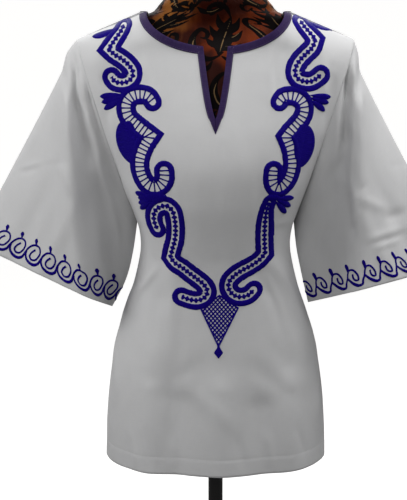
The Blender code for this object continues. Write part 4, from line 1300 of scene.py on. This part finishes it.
def front_place(x, z):
    """Point of the front panel's cloth behind a place seen from the front, and the way out of it."""
    spot, out, _, _ = front_surface.ray_cast(Vector((x, -1.0, z)), Vector((0.0, 1.0, 0.0)))
    if spot is None:
        spot, out, _, _ = front_surface.find_nearest(Vector((x, OVER_SHOULDER_Y, z)))
    return spot, out if out.y < 0 else -out


def outline_round(line, corner, halves):
    """Closed line at a half width round a band, sharp at its corner and round at both ends."""
    side = sideways(line)
    sides = []
    for sign in (1, -1):
        places = line + sign * side * halves[:, None]
        keep = how_near(places, line) > OUTLINE_KEPT * halves
        keep[corner] = True
        sides.append(places[keep])
    caps = []
    for middle, start in ((line[-1], sides[0][-1]), (line[0], sides[1][0])):
        turns = math.atan2(*(start - middle)[::-1]) - math.pi * np.arange(1, CAP_STEPS) / CAP_STEPS
        caps.append(middle + norms(start - middle) * np.stack([np.cos(turns), np.sin(turns)], axis=1))
    return np.vstack([sides[0], caps[0], sides[1][::-1], caps[1]])


def reach_to(outline, middle, way, most):
    """How far it is from a place inside a band to its outline, one way."""
    steps = np.arange(0, most, BEAD_SPACING / 2)
    met = np.nonzero(how_near(middle + way * steps[:, None], outline) < OUTLINE_HALF * OUTLINE_INNER)[0]
    return steps[met[0]] if len(met) else most / 3


def sew_beads(sewn, line, along):
    """A thread down the band's middle that swells into beads."""
    fine = np.linspace(0, along[-1], int(along[-1] / BEAD_SPACING))
    wave = 0.5 - 0.5 * np.cos(2 * math.pi * fine / BEAD_PITCH)
    sewn.ribbon(read_along(along, line, fine), between(*BEAD_HALF, wave), BEAD_HEIGHT)


def sew_bars(sewn, line, along, outline, half):
    """Ladder bars across the band, each from outline to outline and thicker at both ends."""
    turning = np.ones(2 * BARS_TURN_OVER + 1)
    padded = [np.pad(column, BARS_TURN_OVER, "edge") for column in sideways(line).T]
    side = np.stack([np.convolve(column, turning, "valid") for column in padded], axis=1)
    side /= norms(side, True)
    shares = np.linspace(-1, 1, BAR_PLACES)
    last_step = line[-1] - line[-2]
    for number, place in enumerate(np.arange(BAR_PITCH / 2, along[-1] + half / 2, BAR_PITCH)):
        spot = Vector((number * BAR_NOISE[0], half * BAR_NOISE[1], BAR_NOISE[2]))
        place += BAR_UNEVEN * BAR_PITCH * noise.noise(spot)
        middle = read_along(along, line, place)
        middle += max(place - along[-1], 0.0) * last_step / norms(last_step)
        way = read_along(along, side, place)
        left, right = (reach_to(outline, middle, sign * way, 2 * half) for sign in (-1, 1))
        bar = middle + way * np.interp(shares, (-1, 1), (-left, right))[:, None]
        sewn.ribbon(bar, between(*BAR_HALF, np.abs(shares) ** 2), BAR_HEIGHT)


def sew_band(band, height):
    before, after = smooth_line(band.points[: band.corner + 1]), smooth_line(band.points[band.corner :])
    line = np.vstack([before, after[1:]])
    along = lengths_from_start(line, 0)
    halves = band.half_end + (band.half_start - band.half_end) * np.exp(-((along / BAND_WIDENS_OVER) ** 2))
    sewn = Stitching(front_place, LONGEST_STEP)
    outline = outline_round(line, len(before) - 1, halves)
    uneven = np.array([noise.noise(Vector((x, 0.0, z)) * UNEVEN_FINENESS) for x, z in outline])
    sewn.ribbon(outline, OUTLINE_HALF * (1 + OUTLINE_UNEVEN * uneven), height, closed=True)
    if band.inside == "beads":
        sew_beads(sewn, line, along)
    else:
        sew_bars(sewn, line, along, outline, band.half_end)
    sewn.piece("embroidery_" + band.name, satin)


def kite_threads(turn):
    """Straight threads at one slant across the kite, cut at its edges."""
    corners = np.array(KITE)
    left = np.array([-math.sin(turn), math.cos(turn)])
    offsets = corners @ left
    for offset in np.arange(offsets.min() + LATTICE_PITCH / 2, offsets.max(), LATTICE_PITCH):
        cuts = []
        for start, end in zip(corners, np.roll(corners, -1, axis=0)):
            low, high = start @ left - offset, end @ left - offset
            if low * high < 0:
                cuts.append(start + (end - start) * low / (low - high))
        if len(cuts) == 2 and norms(cuts[0] - cuts[1]) > LATTICE_PITCH / 2:
            yield cuts


satin = Finish("blue_satin_stitch", {"Specular IOR Level": 0.02})
satin_u, satin_v = satin.across_and_along("cloth")
satin_lines = satin.sum("SINE", (satin_u + satin_v * SATIN_SLANT) * (2 * math.pi / SATIN_PITCH))
satin_uneven = satin.cloud(satin.place(SATIN_CLOUDS, "cloth"), 1, 2)
satin.show(
    color=satin.blend(satin.between(satin_uneven, *SATIN_EDGES), BLUE, BLUE_LIGHT),
    roughness=SATIN_ROUGHNESS + SATIN_LINE_ROUGHNESS * satin_lines,
    height=satin_lines * 0.5 + satin_uneven,
    depth=SATIN_DEPTH,
)
for number, band in enumerate(BANDS):
    sew_band(band, OUTLINE_HEIGHT + BANDS_APART * number)

leaves = Stitching(front_place, LONGEST_STEP)
for number, row in enumerate(LEAVES):
    leaves.leaf(Leaf(*(size / 1000 for size in row)), LEAF_HEIGHT + LEAVES_APART * number)
leaves.ribbon(smooth_line(SECOND_LINE), SECOND_HALF, OUTLINE_HEIGHT)
leaves.piece("embroidery_leaves", satin)

lattice = Stitching(front_place)
for turn, height in zip(LATTICE_TURNS, LATTICE_HEIGHTS):
    for thread in kite_threads(turn):
        lattice.ribbon(smooth_line(thread), LATTICE_HALF, height)
border = [smooth_line(ends)[:-1] for ends in zip(KITE, KITE[1:] + KITE[:1])]
lattice.ribbon(np.vstack(border), BORDER_HALF, OUTLINE_HEIGHT, closed=True)
diamond = smooth_line(DIAMOND)
lattice.ribbon(diamond, halves_along(diamond, *DIAMOND_HALVES), DIAMOND_HEIGHT)
lattice.piece("embroidery_lattice", satin)

# Sleeve borders: a running line of linked spirals round each hem in the same blue satin stitch,
# with a small bud on top of every spiral, leaning towards the body.
SPIRAL_HALF = (0.0017, 0.0026)
SPIRAL_HEIGHT = 0.0010
SPIRAL_THICK_AT = 0.20
SPIRAL_THICK_OVER = 0.13
SPIRAL_UNEVEN = 0.05
UNEVEN_STEP = 1.7
BUD_HEIGHT = 0.0011

# One spiral: how many pitches ahead, then along the hem and up from its middle in its own radii
Border = namedtuple("Border", "way pitch radius centre start line bud bud_halves")
BORDERS = {
    "sleeve_left": Border(
        -1, 0.0345, 0.0134, 0.0265, 0.010,
        (
            (0, -1.20, 0.05), (0, -1.23, -0.34), (0, -0.97, -0.86), (0, -0.34, -1.20), (0, 0.36, -1.21),
            (0, 0.98, -0.75), (1, -1.39, -0.30), (1, -0.97, 0.49), (1, -0.39, 1.01), (1, 0.15, 1.15),
            (1, 0.73, 1.00), (1, 0.93, 0.57), (1, 0.76, -0.06), (1, 0.26, -0.63), (1, -0.27, -0.68),
            (1, -0.55, -0.37), (1, -0.39, 0.07), (1, 0.12, 0.60),
        ),
        ((0, 0.09, 1.05), (0, -0.02, 1.55), (0, -0.10, 1.98)),
        ((0.0, 0.35, 0.72, 1.0), (0.11, 0.14, 0.32, 0.12)),
    ),
    "sleeve_right": Border(
        1, 0.0315, 0.0140, 0.0215, 0.009,
        (
            (0, -0.99, 0.10), (0, -0.64, -0.23), (0, -0.05, -0.69), (0, 0.70, -0.99), (0, 1.01, -0.91),
            (0, 1.09, -0.47), (1, -1.00, 0.12), (1, -0.92, 0.66), (1, -0.75, 0.98), (1, -0.29, 1.01),
            (1, 0.22, 0.61), (1, 0.52, 0.05), (1, 0.52, -0.31), (1, 0.19, -0.30), (1, -0.14, 0.04),
            (1, -0.23, 0.50),
        ),
        ((0, -0.82, 0.80), (0, -0.97, 1.30), (0, -1.22, 1.80)),
        ((0.0, 0.45, 0.82, 1.0), (0.15, 0.22, 0.23, 0.09)),
    ),
}


def hem_places(grid, ways):
    """Reads a sleeve's cloth by the way round its hem and the height above it."""
    round_it = lengths_from_start(come_round(grid[-1]), 0)
    up = lengths_from_start(grid[::-1], 0)
    columns = grid.shape[1]

    def place(along, height):
        at = np.interp(along % round_it[-1], round_it, np.arange(columns + 1))
        left, right, share = int(at) % columns, (int(at) + 1) % columns, at - int(at)
        level = np.interp(height, between(up[:, left], up[:, right], share), np.arange(len(up)))
        low = min(int(level), len(up) - 2)
        spots = []
        for table in (grid, ways):
            rows = [between(table[-1 - k][left], table[-1 - k][right], share) for k in (low, low + 1)]
            spots.append(Vector(between(*rows, level - low)))
        return spots[0], spots[1].normalized()

    return place, round_it[-1]


def beside_hem(style, first, pitch, size, spots):
    """Ways round the hem and heights above it for places given in a spiral's own radii."""
    ways = [style.way * (first + ahead * pitch + x * size) for ahead, x, _ in spots]
    return list(zip(ways, [style.centre + up * size for _, _, up in spots]))


for sleeve in SLEEVES:
    on_hem, hem_length = hem_places(*sleeve_grids[sleeve.name])
    style = BORDERS[sleeve.name]
    count = round(hem_length / style.pitch)
    pitch = hem_length / count
    border = Stitching(on_hem)
    for number in range(count):
        uneven = noise.noise(Vector((number * UNEVEN_STEP, sleeve.side, 0.0)))
        size = style.radius * (1 + SPIRAL_UNEVEN * uneven)
        first = style.start + number * pitch
        line = smooth_line(beside_hem(style, first, pitch, size, style.line))
        off_thick = (np.linspace(0, 1, len(line)) - SPIRAL_THICK_AT) / SPIRAL_THICK_OVER
        border.ribbon(line, between(*SPIRAL_HALF, np.exp(-(off_thick**2))), SPIRAL_HEIGHT)
        bud = smooth_line(beside_hem(style, first, pitch, size, style.bud))
        border.ribbon(bud, halves_along(bud, *style.bud_halves) * size, BUD_HEIGHT)
    border.piece("embroidery_" + sleeve.name, satin)

# Machine stitching: the body's and the sleeves' turned hems in thread of the cotton's own grey, and
# both edges of the binding in purple thread, each stitch pulled into the cloth at its two ends.
THREAD_GREY = (0.62, 0.62, 0.625, 1.0)
THREAD_PURPLE = (0.085, 0.060, 0.135, 1.0)
GREY_SHINE, PURPLE_SHINE = 0.3, 0.2
THREAD_ROUGHNESS = 0.5
STITCH_LENGTH = 0.0029
STITCH_GAP = 0.0008
STITCH_HALVES = (0.00018, 0.00034, 0.00018)
STITCH_HEIGHT = 0.00035


def plain_thread(name, color, shine):
    fixed = {"Base Color": color, "Roughness": THREAD_ROUGHNESS, "Specular IOR Level": shine}
    return Finish(name, fixed)


def along_run(places, ways):
    """Reads a line on the cloth by the length along it and the distance beside it."""
    lengths = lengths_from_start(places, 0)

    def at(table, along):
        return Vector(read_along(lengths, table, along))

    def place(along, beside):
        way = at(ways, along).normalized()
        ahead = (at(places, along + STITCH_LENGTH / 2) - at(places, along - STITCH_LENGTH / 2)).normalized()
        return at(places, along) + way.cross(ahead) * beside, way

    return place, lengths[-1]


def machine_sewn(name, runs, thread, slot):
    """One mesh of all the stitches along some lines."""
    sewn = Stitching(None)
    for places, ways in runs:
        sewn.on_cloth, length = along_run(places, ways)
        for start in np.arange(STITCH_GAP, length - STITCH_LENGTH, STITCH_LENGTH + STITCH_GAP):
            line = [(start + STITCH_LENGTH * share, 0.0) for share in (0.0, 0.5, 1.0)]
            sewn.ribbon(line, STITCH_HALVES, STITCH_HEIGHT)
    sewn.piece(name, thread, slot)


sleeve_lines = [[come_round(rows[-1 - SLEEVE_LINE_ROW]) for rows in grids] for grids in sleeve_grids.values()]
grey_thread = plain_thread("grey_thread", THREAD_GREY, GREY_SHINE)
machine_sewn("hem_stitches", [front_hem_line, back_hem_line, *sleeve_lines], grey_thread, "cotton")
purple_thread = plain_thread("purple_thread", THREAD_PURPLE, PURPLE_SHINE)
machine_sewn("binding_stitches", binding_lines, purple_thread, "binding")

# Figure of the form's cover: black leaves and scrolls with tan veins, woven into the rust damask.
# They repeat round the form in rows, each row half a step on from the one above.
COVER_BLACK = (0.0035, 0.0025, 0.0025, 1.0)
COVER_TAN = (0.165, 0.105, 0.048, 1.0)
COVER_SHINE = 0.03
FIGURE_HEIGHT = 0.00010
VEIN_HEIGHT = 0.00013
FIGURE_WIDTH = 0.094
FIGURE_ROW = 0.086
FIGURE_FIRST = 0.062
FIGURE_SPACING = 0.0040
FIGURE_TURN = 0.700
FIGURE_FULLER = 1.25
FIGURE_OFF_RIM = 0.003

# Strokes in millimetres: places across and up, and half widths at even steps from end to end
FIGURE = (
    (((-4, -32), (0, -10), (6, 12), (19, 40)), (1, 11, 13, 7, 0.5)),
    (((0, -14), (20, -16), (31, -7)), (6, 5.5, 0.5)),
    (((4, 2), (24, 5), (34, 18)), (6, 5.5, 0.5)),
    (((9, 16), (25, 25), (32, 38)), (6, 5, 0.5)),
    (((-1, -12), (-16, -6), (-24, 5)), (6, 5.5, 0.5)),
    (((3, 4), (-11, 13), (-17, 26)), (6, 5.5, 0.5)),
    (((9, 18), (-1, 30), (-2, 44)), (6, 5, 0.5)),
    (
        (
            (-3, -31), (-20, -37), (-37, -29), (-46, -10), (-42, 11), (-30, 20), (-21, 13), (-25, 4),
            (-33, 6),
        ),
        (1, 3, 4.8, 6, 5.4, 3.6, 2.4, 3.2, 0.6),
    ),
    (
        (
            (0, -32), (14, -40), (31, -39), (42, -28), (40, -17), (31, -16), (30, -24),
        ),
        (0.8, 3, 4.2, 4, 2.6, 2.8, 0.5),
    ),
    (((18, 39), (12, 54), (-4, 59), (-15, 52), (-12, 43), (-5, 46)), (0.8, 3, 4, 2.8, 2.6, 0.5)),
    (((-14, -40), (-22, -52), (-36, -54), (-44, -46), (-38, -40)), (0.8, 3, 3.6, 3, 0.5)),
)
VEINS = (
    (((-3, -28), (1, -8), (7, 12), (17, 34)), (0.4, 1.2, 0.9, 0.3)),
    (((2, -12), (16, -13), (25, -9)), (0.3, 0.8, 0.3)),
    (((6, 4), (20, 7), (29, 14)), (0.3, 0.8, 0.3)),
    (((-22, -38), (-37, -28), (-45, -9), (-41, 8)), (0.3, 1.6, 1.4, 0.3)),
    (((12, -39), (27, -40), (37, -32)), (0.3, 1.2, 0.3)),
)
cover_round = lengths_from_start(np.concatenate([torso_rings, torso_rings[:, :1]], axis=1), 1)
cover_down = lengths_from_start(torso_rings[::-1], 0)[::-1]


def cover_place(column, across, down):
    """Point of the form's cover beside a column and a length down from its top, and the way out."""
    level = float(np.interp(-down, -cover_down[:, column], np.arange(len(cover_down))))
    low = min(int(level), len(cover_down) - 2)
    rows = []
    for k in (low, low + 1):
        around = (cover_round[k, column] + across) % cover_round[k, -1]
        step = float(np.interp(around, cover_round[k], np.arange(COVER_AROUND + 1)))
        left, right = (torso_rings[k][turn % COVER_AROUND] for turn in (int(step), int(step) + 1))
        rows.append(between(left, right, step - int(step)))
    out = np.cross(right - left, rows[1] - rows[0])
    return Vector(between(*rows, level - low)), Vector(out).normalized()


def weave_figure(name, strokes, height, fuller, color):
    """One mesh of all the repeats of some strokes round the form's cover."""
    woven = Stitching(None)
    longest = cover_down[0].min()
    for number, row in enumerate(np.arange(FIGURE_FIRST, longest - FIGURE_ROW / 2, FIGURE_ROW)):
        level = int(np.interp(-row, -cover_down.mean(axis=1), np.arange(len(cover_down))))
        around = cover_round[level]
        count = max(round(around[-1] / FIGURE_WIDTH), 3)
        for repeat in range(count):
            turn = (FIGURE_TURN + (repeat + 0.5 * (number % 2)) / count) % 1
            column = int(np.interp(turn * around[-1], around, np.arange(COVER_AROUND + 1)))
            woven.on_cloth = partial(cover_place, column % COVER_AROUND)
            for places, halves in strokes:
                line = smooth_line([(x / 1000, row - up / 1000) for x, up in places], FIGURE_SPACING)
                if line[:, 1].min() >= FIGURE_OFF_RIM and line[:, 1].max() <= longest - FIGURE_OFF_RIM:
                    halves = halves_along(line, np.linspace(0, 1, len(halves)), halves) / 1000
                    woven.ribbon(line, halves * fuller, height)
    woven.piece(name, plain_thread(name, color, COVER_SHINE), "form_cover")


weave_figure("cover_figure", FIGURE, FIGURE_HEIGHT, FIGURE_FULLER, COVER_BLACK)
weave_figure("cover_veins", VEINS, VEIN_HEIGHT, 1.0, COVER_TAN)

# Studio: a pale floor that glows evenly and curves up into a backdrop on all sides, seven soft
# lamps that match the photograph's light, and the camera at the photograph's place.
FLOOR_RADIUS = 5.8
FLOOR_SIDES = 128
BACKDROP_CURVE = 1.2
BACKDROP_STEPS = 10
BACKDROP_HEIGHT = 4.5
FLOOR_WHITE = (0.42, 0.42, 0.415, 1.0)
FLOOR_WARM = (0.40, 0.395, 0.39, 1.0)
FLOOR_LIT = (1.0, 0.995, 0.985, 1.0)
FLOOR_GLOW = {"Specular IOR Level": 0.2, "Emission Color": FLOOR_LIT, "Emission Strength": 0.92}
FLOOR_CLOUD = (0.9, 4)
FLOOR_ROUGHNESS, FLOOR_ROUGHER = 0.75, 0.1
floor_paint = Finish("floor_paint", FLOOR_GLOW)
floor_tone = floor_paint.cloud(floor_paint.place(), *FLOOR_CLOUD)
floor_color = floor_paint.blend(floor_tone, FLOOR_WHITE, FLOOR_WARM)
floor_paint.show(color=floor_color, roughness=FLOOR_ROUGHNESS + FLOOR_ROUGHER * floor_tone)
bpy.ops.object.select_all(action="DESELECT")
bpy.ops.mesh.primitive_circle_add(vertices=FLOOR_SIDES, radius=FLOOR_RADIUS, fill_type="NGON")
floor = bpy.context.object
floor.name = floor.data.name = "studio_floor"
edit(True)
bpy.ops.mesh.select_mode(type="EDGE")
bpy.ops.mesh.select_all(action="SELECT")
bpy.ops.mesh.region_to_loop()
radius, height = FLOOR_RADIUS, 0.0
for step in range(1, BACKDROP_STEPS + 1):
    turn = math.pi / 2 * step / BACKDROP_STEPS
    wider = FLOOR_RADIUS + BACKDROP_CURVE * math.sin(turn)
    higher = BACKDROP_CURVE * (1 - math.cos(turn))
    bpy.ops.mesh.extrude_edges_move(TRANSFORM_OT_translate={"value": (0, 0, higher - height)})
    bpy.ops.transform.resize(value=(wider / radius, wider / radius, 1), center_override=(0, 0, higher))
    radius, height = wider, higher
bpy.ops.mesh.extrude_edges_move(TRANSFORM_OT_translate={"value": (0, 0, BACKDROP_HEIGHT)})
edit(False)
floor.data.shade_smooth()
floor.data.materials.append(floor_paint.made)
floor.visible_diffuse = floor.visible_glossy = False

# The lamps: turn from the front and rise in degrees, power in watts and size in metres
Light = namedtuple("Light", "name turn rise power size")
LIGHTS = (
    Light("front", -20.0, 18.0, 14.5, 0.9),
    Light("left", -75.0, 28.0, 27.0, 0.9),
    Light("right", 62.0, 28.0, 14.0, 0.9),
    Light("right_high", 96.0, 52.0, 36.0, 0.9),
    Light("top", 0.0, 84.0, 13.0, 0.9),
    Light("back_left", -150.0, 38.0, 20.0, 1.2),
    Light("back_right", 160.0, 30.0, 12.0, 1.2),
)
LIGHTS_AIM = Vector((0.0, -0.05, 1.15))
LIGHTS_AWAY = 2.4
WORLD = {"Color": (0.99, 0.99, 1.0, 1.0), "Strength": 0.13}
for light in LIGHTS:
    lamp = bpy.data.lights.new(light.name, "AREA")
    lamp.size = light.size
    lamp.energy = light.power
    turn, rise = math.radians(light.turn), math.radians(light.rise)
    away = Vector((math.sin(turn) * math.cos(rise), -math.cos(turn) * math.cos(rise), math.sin(rise)))
    item = bpy.data.objects.new(light.name, lamp)
    item.location = LIGHTS_AIM + away * LIGHTS_AWAY
    item.rotation_euler = (-away).to_track_quat("-Z", "Y").to_euler()
    item.visible_camera = False
    bpy.context.scene.collection.objects.link(item)
world = bpy.data.worlds.new("studio")
world.use_nodes = True
for socket, value in WORLD.items():
    world.node_tree.nodes["Background"].inputs[socket].default_value = value
bpy.context.scene.world = world

CAMERA_PLACE = (0.0, -1.70, 1.28)
CAMERA_TILT = math.radians(90 - 9)
SENSOR = {"sensor_fit": "VERTICAL", "sensor_height": 36.0, "sensor_width": 36.0}
LENS = {"lens": 74.0, "shift_x": -0.024}
camera = bpy.data.objects.new("camera", bpy.data.cameras.new("camera"))
camera.location = CAMERA_PLACE
camera.rotation_euler = (CAMERA_TILT, 0.0, 0.0)
for setting, value in {**SENSOR, **LENS}.items():
    setattr(camera.data, setting, value)
bpy.context.scene.collection.objects.link(camera)
bpy.context.scene.camera = camera
bpy.context.scene.view_settings.view_transform = "Standard"
